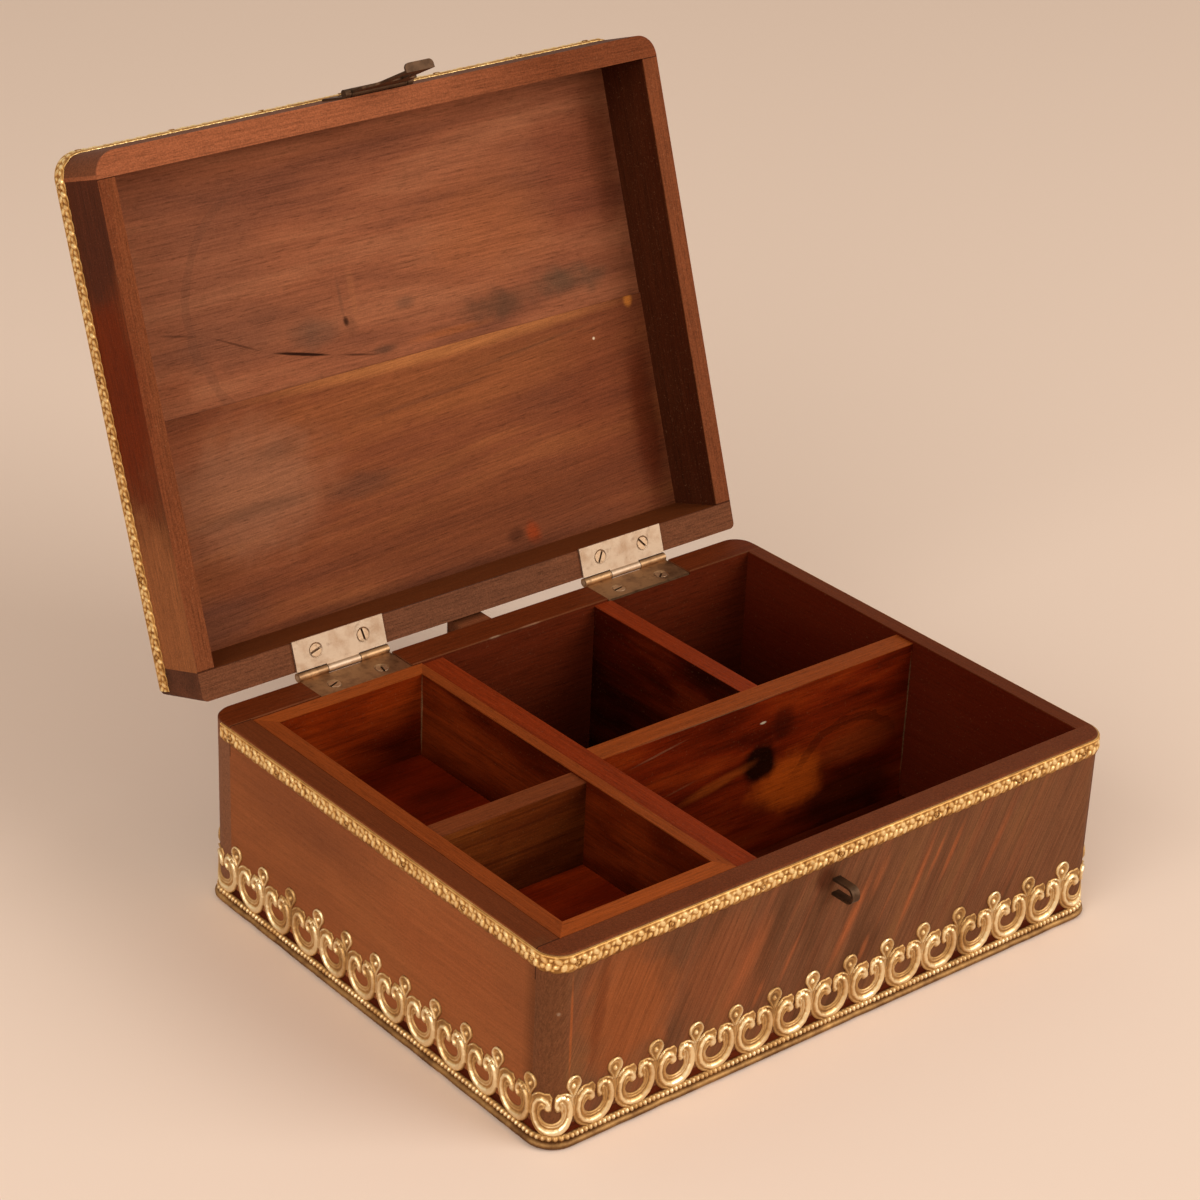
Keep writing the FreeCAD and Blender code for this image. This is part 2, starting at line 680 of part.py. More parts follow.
# Butt hinges: the base leaf is let into the back board, the lid leaf lies on the back rail
base_screws = []
lid_screws = []
for side in ("left", "right"):
    place = "left + %s_hinge_place" % side
    start = place + " - hinge_length / 2"
    middle_start = place + " - hinge_middle / 2"
    name = "hinge_%s_base_leaf" % side
    block(back_wall, "Subtractive", (start + " - sinking_play", "bay_back - overrun", "base_leaf_under"),
          ("hinge_length + 2 * sinking_play", "back_board + 2 * overrun", "sinking_depth + overrun"))
    leaf = plank(name, (start, "bay_back", "base_leaf_under"),
                 ("hinge_length", "base_leaf_width", "leaf_thickness"))
    rod(leaf, "Additive", (start, "axis_y", "axis_z"), "knuckle_radius", "hinge_outer", "right")
    rod(leaf, "Additive", (start + " + hinge_length - hinge_outer", "axis_y", "axis_z"),
        "knuckle_radius", "hinge_outer", "right")
    block(leaf, "Subtractive",
          (middle_start + " - hinge_play", "axis_y - knuckle_radius - hinge_play", "base_leaf_under - overrun"),
          ("hinge_middle + 2 * hinge_play", "2 * knuckle_radius + 2 * hinge_play",
           "2 * knuckle_radius + 2 * overrun"))
    pilot(leaf, start + " - overrun", "axis_y", "axis_z", "hinge_length + 2 * overrun",
          "hinge_pin_radius", "right")
    name = "hinge_%s_lid_leaf" % side
    lid_leaf = plank(name, (start, "axis_y - lid_leaf_width", "lid_rim - leaf_thickness"),
                     ("hinge_length", "lid_leaf_width", "leaf_thickness"), "lid")
    for cut_start in (start + " - overrun", middle_start + " + hinge_middle"):
        block(lid_leaf, "Subtractive",
              (cut_start, "axis_y - knuckle_radius - hinge_play", "lid_rim - leaf_thickness - overrun"),
              ("hinge_outer + hinge_play + overrun", "knuckle_radius + hinge_play + overrun",
               "leaf_thickness + 2 * overrun"))
    rod(lid_leaf, "Additive", (middle_start, "axis_y", "axis_z"), "knuckle_radius", "hinge_middle", "right")
    pilot(lid_leaf, start + " - overrun", "axis_y", "axis_z", "hinge_length + 2 * overrun",
          "hinge_pin_radius", "right")
    pin = doc.addObject("PartDesign::Body", "hinge_%s_pin" % side)
    rod(pin, "Additive", (start, "axis_y", "axis_z"), "hinge_pin_radius", "hinge_length", "right")
    settle(pin, "hinge_%s_pin" % side)
    for end, sign in (("a", " - "), ("b", " + ")):
        x = place + sign + "screw_spread / 2"
        y = "bay_back + screw_inset"
        neck = "screw_shank_radius + fit"
        funnel(leaf, (x, y, "base_leaf_under"), neck, "screw_head_radius + fit", "leaf_thickness")
        face = "base_leaf_under + leaf_thickness"
        screw_hole(back_wall, x, y, face + " - screw_length - fit")
        base_screws.append(screw("base_screw_%s_%s" % (side, end), x, y, face, "down"))
        y = "axis_y - lid_leaf_width + screw_inset"
        funnel(lid_leaf, (x, y, "lid_rim - leaf_thickness"), "screw_head_radius + fit", neck,
               "leaf_thickness")
        face = "lid_rim - leaf_thickness"
        screw_hole(lid_back_rail, x, y, face + " + fit")
        lid_screws.append(screw("lid_screw_%s_%s" % (side, end), x, y, face, "up"))


def group(name, pieces, pose):
    """Like fasteners kept together as separate solids."""
    whole = doc.addObject("Part::Compound", name)
    whole.Links = pieces
    return settle(whole, name, pose)


group("base_hinge_screws", base_screws, "base")
group("lid_hinge_screws", lid_screws, "lid")

# Hasp: a leaf on the lid's front rail, a pin, and the flap that hangs over the staple
hasp_leaf = plank("hasp_leaf", ("hasp_x - hasp_width / 2", "front - hasp_thickness", "hasp_z"),
                  ("hasp_width", "hasp_thickness", "hasp_leaf_height"), "lid")
block(hasp_leaf, "Subtractive",
      ("hasp_x - flap_width / 2 - hinge_play", "front - hasp_thickness - overrun", "hasp_z - overrun"),
      ("flap_width + 2 * hinge_play", "hasp_thickness + 2 * overrun",
       "hasp_knuckle_radius + hinge_play + overrun"))
for start in ("hasp_x - hasp_width / 2", "hasp_x + hasp_width / 2 - hasp_outer"):
    rod(hasp_leaf, "Additive", (start, "hasp_y", "hasp_z"), "hasp_knuckle_radius", "hasp_outer", "right")
pilot(hasp_leaf, "hasp_x - hasp_width / 2", "hasp_y", "hasp_z", "hasp_width", "hasp_pin_radius", "right")
hasp_pin = doc.addObject("PartDesign::Body", "hasp_pin")
rod(hasp_pin, "Additive", ("hasp_x - hasp_width / 2", "hasp_y", "hasp_z"),
    "hasp_pin_radius", "hasp_width", "right")
settle(hasp_pin, "hasp_pin", "lid")

flap = plank("hasp_flap", ("hasp_x - flap_width / 2", "flap_front", "hasp_z - flap_shoulder"),
             ("flap_width", "flap_thickness", "flap_shoulder"), "flap")
block(flap, "Additive", ("hasp_x - flap_tip_width / 2", "flap_front", "hasp_z - flap_length"),
      ("flap_tip_width", "flap_thickness", "flap_length - flap_shoulder + overrun"))


def shoulder(point):
    return near(point.z - size("hasp_z"), "flap_shoulder", -1)


rounded(flap, flap.Tip, running(flap.Tip, "y", shoulder), "flap_round")
block(flap, "Additive", ("hasp_x - flap_tip_width / 2", "flap_front - flap_lip", "hasp_z - flap_length"),
      ("flap_tip_width", "flap_lip + flap_thickness", "flap_thickness"))


def lip_corner(point):
    return near(point.y - size("flap_front"), "flap_lip", -1)


rounded(flap, flap.Tip, upright(flap.Tip, lip_corner), "flap_lip_round")
rod(flap, "Additive", ("hasp_x - flap_width / 2", "hasp_y", "hasp_z"), "hasp_knuckle_radius", "flap_width", "right")
pilot(flap, "hasp_x - hasp_width / 2 - overrun", "hasp_y", "hasp_z", "hasp_width + 2 * overrun",
      "hasp_pin_radius", "right")
block(flap, "Subtractive",
      ("hasp_x - flap_slot_width / 2", "flap_front - overrun", "slot_top - flap_slot_length"),
      ("flap_slot_width", "flap_thickness + 2 * overrun", "flap_slot_length"))

# Staple: a bent strap whose two legs stand in the front board
staple_x = "hasp_x - staple_width / 2"
staple = plank("staple", (staple_x, "front - staple_reach", "staple_low"),
               ("staple_width", "staple_reach + staple_leg", "staple_height"))


def staple_nose(point):
    return near(point.y - size("front"), "staple_reach", -1)


def staple_throat(point):
    return abs(point.y - size("front") + size("staple_reach") - size("staple_strap")) < 1e-6


rounded(staple, staple.Tip, running(staple.Tip, "x", staple_nose), "staple_bend")
block(staple, "Subtractive",
      (staple_x + " - overrun", "front - staple_reach + staple_strap", "staple_low + staple_strap"),
      ("staple_width + 2 * overrun", "staple_reach + staple_leg", "staple_height - 2 * staple_strap"))
rounded(staple, staple.Tip, running(staple.Tip, "x", staple_throat), "staple_bend - staple_strap")
for low in ("staple_low", "staple_low + staple_height - staple_strap"):
    block(front_wall, "Subtractive", (staple_x + " - fit", "front - overrun", low + " - fit"),
          ("staple_width + 2 * fit", "staple_leg + overrun + fit", "staple_strap + 2 * fit"))

doc.recompute()

for obj in doc.Objects:
    if {"Invalid", "Error"} & set(obj.State):
        raise RuntimeError("%s did not build: %s" % (obj.Label, obj.State))

os.makedirs("parts", exist_ok=True)
for part in ends:
    if part.Shape.isNull() or not part.Shape.isValid():
        raise RuntimeError("%s has no sound shape" % part.Label)
    part.Shape.exportStep("parts/%s.step" % part.Label)
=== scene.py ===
import math
import random
import bpy
from mathutils import Matrix, Vector


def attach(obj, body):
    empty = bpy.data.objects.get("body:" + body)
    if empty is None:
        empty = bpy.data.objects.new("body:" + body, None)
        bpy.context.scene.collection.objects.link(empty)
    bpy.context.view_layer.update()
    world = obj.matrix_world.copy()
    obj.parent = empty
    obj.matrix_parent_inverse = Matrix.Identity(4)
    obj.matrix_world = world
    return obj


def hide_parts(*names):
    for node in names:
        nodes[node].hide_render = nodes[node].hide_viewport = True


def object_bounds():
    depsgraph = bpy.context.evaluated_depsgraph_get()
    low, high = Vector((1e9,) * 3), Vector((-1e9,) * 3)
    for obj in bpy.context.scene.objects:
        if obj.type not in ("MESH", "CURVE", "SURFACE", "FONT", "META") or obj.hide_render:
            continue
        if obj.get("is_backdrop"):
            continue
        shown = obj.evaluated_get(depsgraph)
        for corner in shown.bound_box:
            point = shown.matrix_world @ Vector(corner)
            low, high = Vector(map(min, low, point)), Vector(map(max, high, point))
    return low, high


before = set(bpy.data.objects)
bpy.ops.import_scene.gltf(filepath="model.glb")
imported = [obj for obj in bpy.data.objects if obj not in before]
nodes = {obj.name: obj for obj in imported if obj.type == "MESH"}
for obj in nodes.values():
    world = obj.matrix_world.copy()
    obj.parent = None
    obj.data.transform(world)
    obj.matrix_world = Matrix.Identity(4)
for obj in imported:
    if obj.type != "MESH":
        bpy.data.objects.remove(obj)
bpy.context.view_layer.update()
mm = 0.001
scene = bpy.context.scene
print("frame loaded")


# Camera, light and floor
photo = {
    "place": (-0.634873, -0.712103, 0.599398),
    "turn": (62.2872, -0.8670, -36.8517),  # degrees about X, Y and Z
    "frame": 1200,  # pixels
    "focalPixels": 3208.06,
    "middlePixel": (442.47, 643.97),
    "sensor": 36.0,
}
cameraData = bpy.data.cameras.new("camera")
cameraData.sensor_width = photo["sensor"]
cameraData.lens = photo["focalPixels"] / photo["frame"] * photo["sensor"]
cameraData.shift_x = (photo["frame"] / 2 - photo["middlePixel"][0]) / photo["frame"]
cameraData.shift_y = (photo["middlePixel"][1] - photo["frame"] / 2) / photo["frame"]
camera = bpy.data.objects.new("camera", cameraData)
camera.location = photo["place"]
camera.rotation_euler = [math.radians(angle) for angle in photo["turn"]]
scene.collection.objects.link(camera)
scene.camera = camera
scene.view_settings.view_transform = "Standard"


def linear(hexColour):
    channels = [int(hexColour[i:i + 2], 16) / 255 for i in (1, 3, 5)]
    return [c / 12.92 if c <= 0.04045 else ((c + 0.055) / 1.055) ** 2.4 for c in channels] + [1.0]


def addNode(tree, kind, sockets=None, **settings):
    node = tree.nodes.new("ShaderNode" + kind)
    for name, value in settings.items():
        setattr(node, name, value)
    for key, value in (sockets or {}).items():
        if isinstance(value, bpy.types.NodeSocket):
            tree.links.new(value, node.inputs[key])
        else:
            node.inputs[key].default_value = value
    return node


def calculate(tree, operation, *values):
    return addNode(tree, "Math", dict(enumerate(values)), operation=operation).outputs[0]


def combine(tree, operation, *values):
    return addNode(tree, "VectorMath", dict(enumerate(values)), operation=operation).outputs[0]


def remap(tree, value, fromRange, toRange=(0.0, 1.0), **settings):
    return addNode(tree, "MapRange", {"Value": value, "From Min": fromRange[0], "From Max": fromRange[1],
                                      "To Min": toRange[0], "To Max": toRange[1]}, **settings).outputs[0]


def noise(tree, place, scale, detail, roughness=0.5, distortion=0.0, output="Fac"):
    return addNode(tree, "TexNoise", {"Vector": place, "Scale": scale, "Detail": detail, "Roughness": roughness,
                                      "Distortion": distortion}).outputs[output]


def newMaterial(name):
    material = bpy.data.materials.new(name)
    material.use_nodes = True
    tree = material.node_tree
    tree.nodes.clear()
    return material, tree


def finishMaterial(tree, sockets):
    shader = addNode(tree, "BsdfPrincipled", sockets)
    addNode(tree, "OutputMaterial", {"Surface": shader.outputs[0]})


def ramp(tree, factor, stops):
    node = addNode(tree, "ValToRGB", {"Fac": factor})
    stops = list(stops)
    elements = node.color_ramp.elements
    while len(elements) < len(stops):
        elements.new(0.5)
    for element, (place, value) in zip(elements, stops):
        element.position = place
        element.color = linear(value) if isinstance(value, str) else (value, value, value, 1)
    return node.outputs[0]


def mixColour(tree, factor, first, second, blend="MIX"):
    node = addNode(tree, "Mix", {0: factor, 6: first, 7: second}, data_type="RGBA", blend_type=blend)
    return node.outputs[2]


light = {
    "world": "#fff2e4",
    "worldStrength": 0.45,
    "shownStrength": 0.75,  # what the camera and the metal see of it
    "lamps": {
        "key": {"power": 53.0, "place": (1.3, -2.1, 1.42), "size": 1.9},
        "fill": {"power": 37.5, "place": (-2.1, -0.74, 1.21), "size": 1.9},
    },
    "aim": (0, 0, 0.08),
}
world = bpy.data.worlds.new("studio")
world.use_nodes = True
scene.world = world
tree = world.node_tree
tree.nodes.clear()
path = addNode(tree, "LightPath").outputs
seen = calculate(tree, "MAXIMUM", path["Is Camera Ray"], path["Is Glossy Ray"])
seen = calculate(tree, "MAXIMUM", seen, path["Is Transmission Ray"])
strength = remap(tree, seen, (0.0, 1.0), (light["worldStrength"], light["shownStrength"]))
background = addNode(tree, "Background", {"Color": linear(light["world"]), "Strength": strength})
addNode(tree, "OutputWorld", {"Surface": background.outputs[0]})
for name, lampSpec in light["lamps"].items():
    lampData = bpy.data.lights.new(name, "AREA")
    lampData.energy = lampSpec["power"]
    lampData.size = lampSpec["size"]
    lamp = bpy.data.objects.new(name, lampData)
    lamp.location = lampSpec["place"]
    lamp.rotation_euler = (Vector(light["aim"]) - lamp.location).to_track_quat("-Z", "Y").to_euler()
    scene.collection.objects.link(lamp)

paper = {"colour": "#f0d6c1", "roughness": 0.9, "reach": 20}
floorMaterial, tree = newMaterial("palePaper")
finishMaterial(tree, {"Base Color": linear(paper["colour"]), "Roughness": paper["roughness"]})
floorCorners = [(x * paper["reach"], y * paper["reach"], 0) for x, y in ((-1, -1), (1, -1), (1, 1), (-1, 1))]
floorMesh = bpy.data.meshes.new("floor")
floorMesh.from_pydata(floorCorners, [], [(0, 1, 2, 3)])
floorMesh.materials.append(floorMaterial)
floor = bpy.data.objects.new("floor", floorMesh)
scene.collection.objects.link(floor)
floor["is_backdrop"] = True
print("camera, light and floor made")


# The lid is described shut, in the case's own millimetres, and turned open about the hinge line
lidHinge = {"axis": Vector((0, 0.09598, 0.0715)), "open": -108.8}  # metres, and degrees about X
lidMatrix = (Matrix.Translation(lidHinge["axis"]) @ Matrix.Rotation(math.radians(lidHinge["open"]), 4, "X")
             @ Matrix.Translation(-lidHinge["axis"]))
shutMatrix = lidMatrix.inverted()


def boxAmount(tree, place, box):
    # 1 inside a box given in millimetres, fading to 0 over the soft edge
    middle = [(a + b) / 2 * mm for a, b in zip(box["low"], box["high"])]
    half = [(b - a) / 2 * mm for a, b in zip(box["low"], box["high"])]
    offset = combine(tree, "ABSOLUTE", combine(tree, "SUBTRACT", place, middle))
    beyond = addNode(tree, "SeparateXYZ", {0: combine(tree, "SUBTRACT", offset, half)}).outputs
    most = calculate(tree, "MAXIMUM", calculate(tree, "MAXIMUM", beyond[0], beyond[1]), beyond[2])
    return remap(tree, most, (0.0, box["soft"] * mm), (1.0, 0.0))


def spotAmount(tree, place, wobble, spot):
    # strongest in the middle of an ellipsoid, or along its rim for a ring
    local = addNode(tree, "Mapping", {
        "Vector": place,
        "Location": [v * mm for v in spot["place"]],
        "Rotation": [math.radians(v) for v in spot["turn"]],
        "Scale": [v * mm for v in spot["size"]],
    }, vector_type="TEXTURE").outputs[0]
    shaken = combine(tree, "MULTIPLY_ADD", wobble, [spot["shake"]] * 3, local)
    reach = addNode(tree, "VectorMath", {0: shaken}, operation="LENGTH").outputs["Value"]
    if "ring" in spot:
        axis, *fade = spot["ringSide"]
        kept = remap(tree, addNode(tree, "SeparateXYZ", {0: local}).outputs[axis], fade)
        onRing = calculate(tree, "COMPARE", reach, 1.0, spot["ring"])
        return calculate(tree, "MULTIPLY", calculate(tree, "MULTIPLY", onRing, kept), spot["strength"])
    return remap(tree, reach, (spot["core"], 1.0), (spot["strength"], 0.0), interpolation_type="SMOOTHSTEP")


# Sheesham, planed, stained and waxed by hand: mottled brown, short open pores, a dull sheen
sheesham = {
    "grain": {"x": (0, 0, 0), "y": (0, 0, 90)}, "noiseRoughness": 0.55, "mottleStops": (0.32, 0.5, 0.7),
    "lineLength": 150.0, "lineRange": (0.5, 0.72), "fibreLength": 26.0,
    "fibreWidth": 0.7,  # drawn coarser than real fibres, so that they show
    "poreLength": 5.0, "poreWidth": 0.4, "gritSize": 0.55, "fleckSize": 0.8, "fleckRange": (0.6, 0.72),
    "fleckColour": "#c08a62", "wobbleScale": 0.11, "roughness": 0.6, "sheen": 0.07, "sheenTint": "#ffb486",
    "bump": 0.2, "bumpHeight": 0.0003,
}
# How much of the colour a layer leaves, over its noise
layerTones = {
    "fibres": [(0.32, 0.66), (0.66, 1.04)], "pores": [(0.3, 0.45), (0.44, 1.0)], "grit": [(0.35, 0.74), (0.65, 1.04)],
}
# What a board has unless its own table says otherwise
plainBoard = {
    "grain": "x", "seed": 0.0, "onLid": False, "mottleLength": 75.0, "mottleWidth": 22.0, "lineWidth": 3.4,
    "lines": 0.3, "fibres": 0.8, "pores": 0.6, "grit": 0.5, "flecks": 0.1, "spots": (), "zones": (),
}


def wood(light, middle, dark, **looks):
    return dict(plainBoard, light=light, middle=middle, dark=dark, **looks)


def woodMaterial(name, board):
    material, tree = newMaterial(name)
    place = addNode(tree, "TexCoord").outputs["Object"]
    if board["onLid"]:
        place = addNode(tree, "Mapping", {"Vector": place, "Location": shutMatrix.to_translation(),
                                          "Rotation": shutMatrix.to_euler()}).outputs[0]
    grain, seed = board["grain"], board["seed"]
    turned = addNode(tree, "Mapping", {
        "Vector": place,
        "Rotation": [math.radians(v) for v in sheesham["grain"].get(grain, grain)],
        "Scale": [1 / mm] * 3,
    }).outputs[0]

    def stretched(length, width, detail, offset, warp=0.3):
        # a noise drawn out along the grain, elsewhere in the noise for each board and layer
        scaled = addNode(tree, "Mapping", {
            "Vector": turned,
            "Location": (seed + offset, seed * 1.7, offset * 3.1),
            "Scale": (1 / length, 1 / width, 1 / width),
        }).outputs[0]
        return noise(tree, scaled, 1.0, detail, sheesham["noiseRoughness"], warp)

    mottle = stretched(board["mottleLength"], board["mottleWidth"], 3.0, 0.0)
    colour = ramp(tree, mottle, zip(sheesham["mottleStops"], (board["dark"], board["middle"], board["light"])))
    lines = stretched(sheesham["lineLength"], board["lineWidth"], 3.0, 4.0, 0.5)
    lineAmount = remap(tree, lines, sheesham["lineRange"], (0.0, board["lines"]))
    colour = mixColour(tree, lineAmount, colour, linear(board.get("lineColour", board["dark"])))
    wobble = noise(tree, turned, sheesham["wobbleScale"], 4.0, output="Color")
    wobble = combine(tree, "SUBTRACT", wobble, (0.5, 0.5, 0.5))
    for spot in board["spots"]:
        colour = mixColour(tree, spotAmount(tree, place, wobble, spot), colour, linear(spot["colour"]))
    for area in board["zones"]:
        amount = calculate(tree, "MULTIPLY", boxAmount(tree, place, area), area["strength"])
        colour = mixColour(tree, amount, colour, linear(area["colour"]))
    fibres = stretched(sheesham["fibreLength"], sheesham["fibreWidth"], 3.0, 5.0)
    pores = stretched(sheesham["poreLength"], sheesham["poreWidth"], 2.0, 11.0, 0.0)
    grit = noise(tree, turned, 1 / sheesham["gritSize"], 1.0)
    for key, layer in (("fibres", fibres), ("pores", pores), ("grit", grit)):
        colour = mixColour(tree, board[key], colour, ramp(tree, layer, layerTones[key]), "MULTIPLY")
    flecks = noise(tree, turned, 1 / sheesham["fleckSize"], 4.0, 0.7)
    fleckAmount = remap(tree, flecks, sheesham["fleckRange"], (0.0, board["flecks"]))
    colour = mixColour(tree, fleckAmount, colour, linear(sheesham["fleckColour"]))
    uneven = calculate(tree, "MULTIPLY_ADD", fibres, 0.5, pores)
    bump = addNode(tree, "Bump", {"Height": uneven, "Distance": sheesham["bumpHeight"], "Strength": sheesham["bump"]})
    finishMaterial(tree, {
        "Base Color": colour,
        "Roughness": sheesham["roughness"],
        "Specular IOR Level": sheesham["sheen"],
        "Specular Tint": linear(sheesham["sheenTint"]),
        "Normal": bump.outputs[0],
    })
    return material


def dress(material, *names):
    for name in names:
        data = nodes[name].data
        data.materials.clear()
        data.materials.append(material)


def dressWood(name, board, *names):
    dress(woodMaterial(name, board), *names)


def mark(place, size, colour, strength, turn=(0, 0, 0), shake=0.5, core=0.35, **ring):
    return dict(ring, place=place, size=size, colour=colour, strength=strength, turn=turn, shake=shake, core=core)


def zone(low, high, colour, strength, soft=0.1):
    return dict(low=low, high=high, colour=colour, strength=strength, soft=soft)


# Inside the case all wood is painted darker below the rim: partly its real stain, partly painted shade of the deep
# compartments
stained = zone((-111.35, -85.85, 0), (113.55, 81.45, 70.9), "#4c0e02", 0.92)


def seam(low, high):
    return zone(low, high, "#2a1108", 0.8, 0.15)


leftSide = wood(
    "#94552f", "#8b4e2b", "#7c4628", grain="y", mottleLength=90.0, mottleWidth=40.0, lines=0.1, pores=0.35,
    fibres=0.45,
    spots=(
        mark((-120, 40, 60), (9, 60, 20), "#774024", 0.5),
        mark((-120, -40, 45), (9, 45, 26), "#96502b", 0.4),
        mark((-103.2, -3, 71), (2.5, 4, 2), "#b06a3c", 0.6),
    ),
    zones=(
        zone((-125, -90, 71.0), (125, 90, 75), "#5e2810", 0.85),
        zone((-125, -86, 0), (-118, -85, 70.4), "#65391f", 0.8, 5),
        stained, seam((-125, -85.7, 60), (-100, -85.3, 75)), seam((-125, 80.9, 60), (-100, 81.3, 75)),
    ),
)
dressWood("sheeshamLeftSide", leftSide, "left_board")

rightSide = dict(leftSide, seed=3.0, spots=(), light="#8a4a2a", middle="#7c4024", dark="#63321c", lines=0.35)
dressWood("sheeshamRightSide", rightSide, "right_board")


def streak(x, z, half, width, lean, strength):
    # a reddish streak on the front, leaning to the right by so many degrees from level
    return mark((x, -94, z), (half, 8, width), "#9c5530", strength, turn=(0, -lean, 0), shake=0.28, core=0.1)


frontBoard = wood(
    "#7b4e2f", "#70452c", "#5d3923", grain=(0, 64, 0), mottleLength=60.0, mottleWidth=14.0, lines=0.45,
    lineColour="#88492c", lineWidth=5.0, pores=0.4, seed=7.0,
    spots=(
        mark((-90, -94, 42), (24, 12, 34), "#965028", 0.75, shake=0.7),
        mark((-101, -94, 46), (3.5, 8, 26), "#6a3419", 0.6, turn=(0, 8, 0)),
        mark((-50, -94, 40), (26, 12, 30), "#8a4b2a", 0.5, shake=0.7),
        streak(-40, 40, 24, 4.5, 60, 0.6), streak(-35, 26, 7, 1.5, 66, 0.7), streak(-22, 35, 12, 1.6, 62, 0.5),
        streak(4, 39, 24, 2.6, 62, 0.95), streak(11, 26, 7, 1.8, 66, 0.7), streak(22, 44, 20, 1.1, 62, 0.35),
        streak(33, 43, 25, 1.9, 66, 0.9), streak(42, 51, 13, 1.2, 64, 0.75), streak(49, 50, 15, 1.6, 65, 0.9),
        streak(70, 46, 20, 1.7, 62, 0.55), streak(16, 52, 12, 2.4, 64, 0.5), streak(88, 44, 16, 1.2, 60, 0.25),
        mark((104, -94, 36), (26, 12, 40), "#74482e", 0.7),
        # a thin orange vertical line where the front turns into the rounded corner: a painted highlight
        mark((-112.2, -94, 44), (0.7, 4, 24), "#a8582a", 0.6, shake=0.25),
        mark((-116.4, -93, 49.7), (0.9, 1.4, 0.9), "#cbb090", 1.0, shake=0.1),
        mark((-9, -94, 60), (6, 5, 6.5), "#401c0c", 0.75, turn=(0, 30, 0)),
        mark((30, -86, 71.3), (10, 4, 2), "#96583a", 0.4),
    ),
    zones=(
        zone((-125, -100, 0), (-114.6, -80, 70.4), "#6e4228", 0.75, 1.8),
        zone((116, -100, 0), (125, -80, 70.4), "#5a3622", 0.75, 1.2),
        zone((-125, -100, 71.0), (125, -80, 75), "#6a3017", 0.8),
        stained,
    ),
)
dressWood("sheeshamFront", frontBoard, "front_board")

backBoard = wood(
    "#84462a", "#754024", "#5e321c", seed=12.0, lines=0.4,
    spots=(
        mark((-7, 81.2, 71.2), (3, 1.2, 1.2), "#c09a78", 0.9),
        mark((9.4, 81.4, 71.2), (6, 1.3, 1.2), "#a87858", 0.8),
        mark((-2, 81.3, 70.6), (22, 1.0, 1.4), "#7a4a30", 0.5),
    ),
    zones=(
        zone((-125, 80, 0), (-117.5, 100, 70.4), "#80533a", 0.9, 0.4),
        zone((116, 80, 0), (125, 100, 70.4), "#5a3622", 0.75, 1.2),
        zone((-125, 81.8, 71.0), (125, 100, 75), "#602409", 0.9),
        dict(stained, colour="#571403", strength=0.82),
    ),
)
dressWood("sheeshamBack", backBoard, "back_board", "stop_block")

bottomPanel = wood("#5c200a", "#481203", "#340a01", seed=15.0, mottleWidth=30.0,
                   spots=(mark((44, -20, 8), (26, 10, 6), "#7c3010", 0.5),))
dressWood("sheeshamBottom", bottomPanel, "bottom_panel", "left_ledge", "right_ledge")

# The dividers' dark tones are partly painted shade of the compartments they stand in
divider = wood(
    "#6a2006", "#400b01", "#200300", grain="y", seed=18.0, lines=0.5, flecks=0.12,
    zones=(zone((-130, -100, 69.9), (130, 100, 75), "#883010", 0.88),),
)
dressWood("sheeshamDivider", divider, "bay_divider", "rear_divider")

crossDivider = wood(
    "#8c300a", "#6e1c03", "#420b00", seed=21.0, lines=0.4, mottleLength=60.0, mottleWidth=12.0, flecks=0.1,
    spots=(
        mark((84, -7, 18), (34, 8, 15), "#240501", 0.75),
        mark((57, -7, 32), (22, 8, 15), "#b24a10", 0.95, shake=0.8),
        mark((84, -7, 22), (27, 9, 27), "#280702", 0.4, ring=0.07, ringSide=(2, 0.3, 0.8), shake=0.25),
        mark((90, -7, 37), (26, 8, 9), "#8a3610", 0.6),
        mark((42.5, -7, 44.5), (11, 8, 10), "#160300", 0.97, shake=0.6, core=0.55),
        mark((52, -7, 58), (7, 8, 9), "#2c0802", 0.6),
        mark((22, -7, 42.5), (22, 8, 3), "#9a4414", 0.6, turn=(0, -10, 0)),
        mark((-5, -7, 63.5), (15, 5, 0.6), "#86553a", 0.5, turn=(0, -8, 0)),
        mark((6, -7, 46.5), (9, 5, 0.5), "#7c4a30", 0.4, turn=(0, -8, 0)),
        mark((42.5, -7, 60.5), (1.8, 2, 0.6), "#d8c4a4", 0.9, shake=0.6),
        mark((113.0, -7.2, 40), (0.6, 3, 32), "#8a6a4a", 0.6, shake=1.2),
        mark((20, -6.8, 70), (60, 1.0, 0.7), "#9a7250", 0.5, shake=0.6),
    ),
    zones=(dict(divider["zones"][0], colour="#914419"),),
)
dressWood("sheeshamCross", crossDivider, "cross_divider")

trayRim = zone((-130, -100, 70.6), (130, 100, 75), "#8c4018", 0.9)
trayWall = wood(
    "#7c2c0a", "#541602", "#340800", grain="y", seed=25.0, lines=0.4, flecks=0.12,
    spots=(mark((-43.9, 74.8, 55), (0.6, 0.7, 20), "#a07c54", 0.5, shake=1.6),),
    zones=(trayRim,),
)
dressWood("sheeshamTrayLong", trayWall, "tray_left_wall", "tray_right_wall")
trayAcross = dict(trayWall, grain="x", seed=28.0, light="#a84010", middle="#7c2604", dark="#4c1001",
                  zones=(dict(trayRim, colour="#9c4a1c"),))
dressWood("sheeshamTrayAcross", trayAcross, "tray_front_wall", "tray_back_wall")
trayDivider = wood(
    "#7c3c14", "#642a0b", "#461604", seed=30.0, lines=0.6, lineWidth=2.0,
    zones=(zone((-130, -100, 69.7), (130, 100, 75), "#74381c", 0.85),),
)
dressWood("sheeshamTrayDivider", trayDivider, "tray_divider")
trayBottom = wood("#922c06", "#741c03", "#4e1001", seed=33.0, mottleWidth=30.0)
dressWood("sheeshamTrayBottom", trayBottom, "tray_bottom")

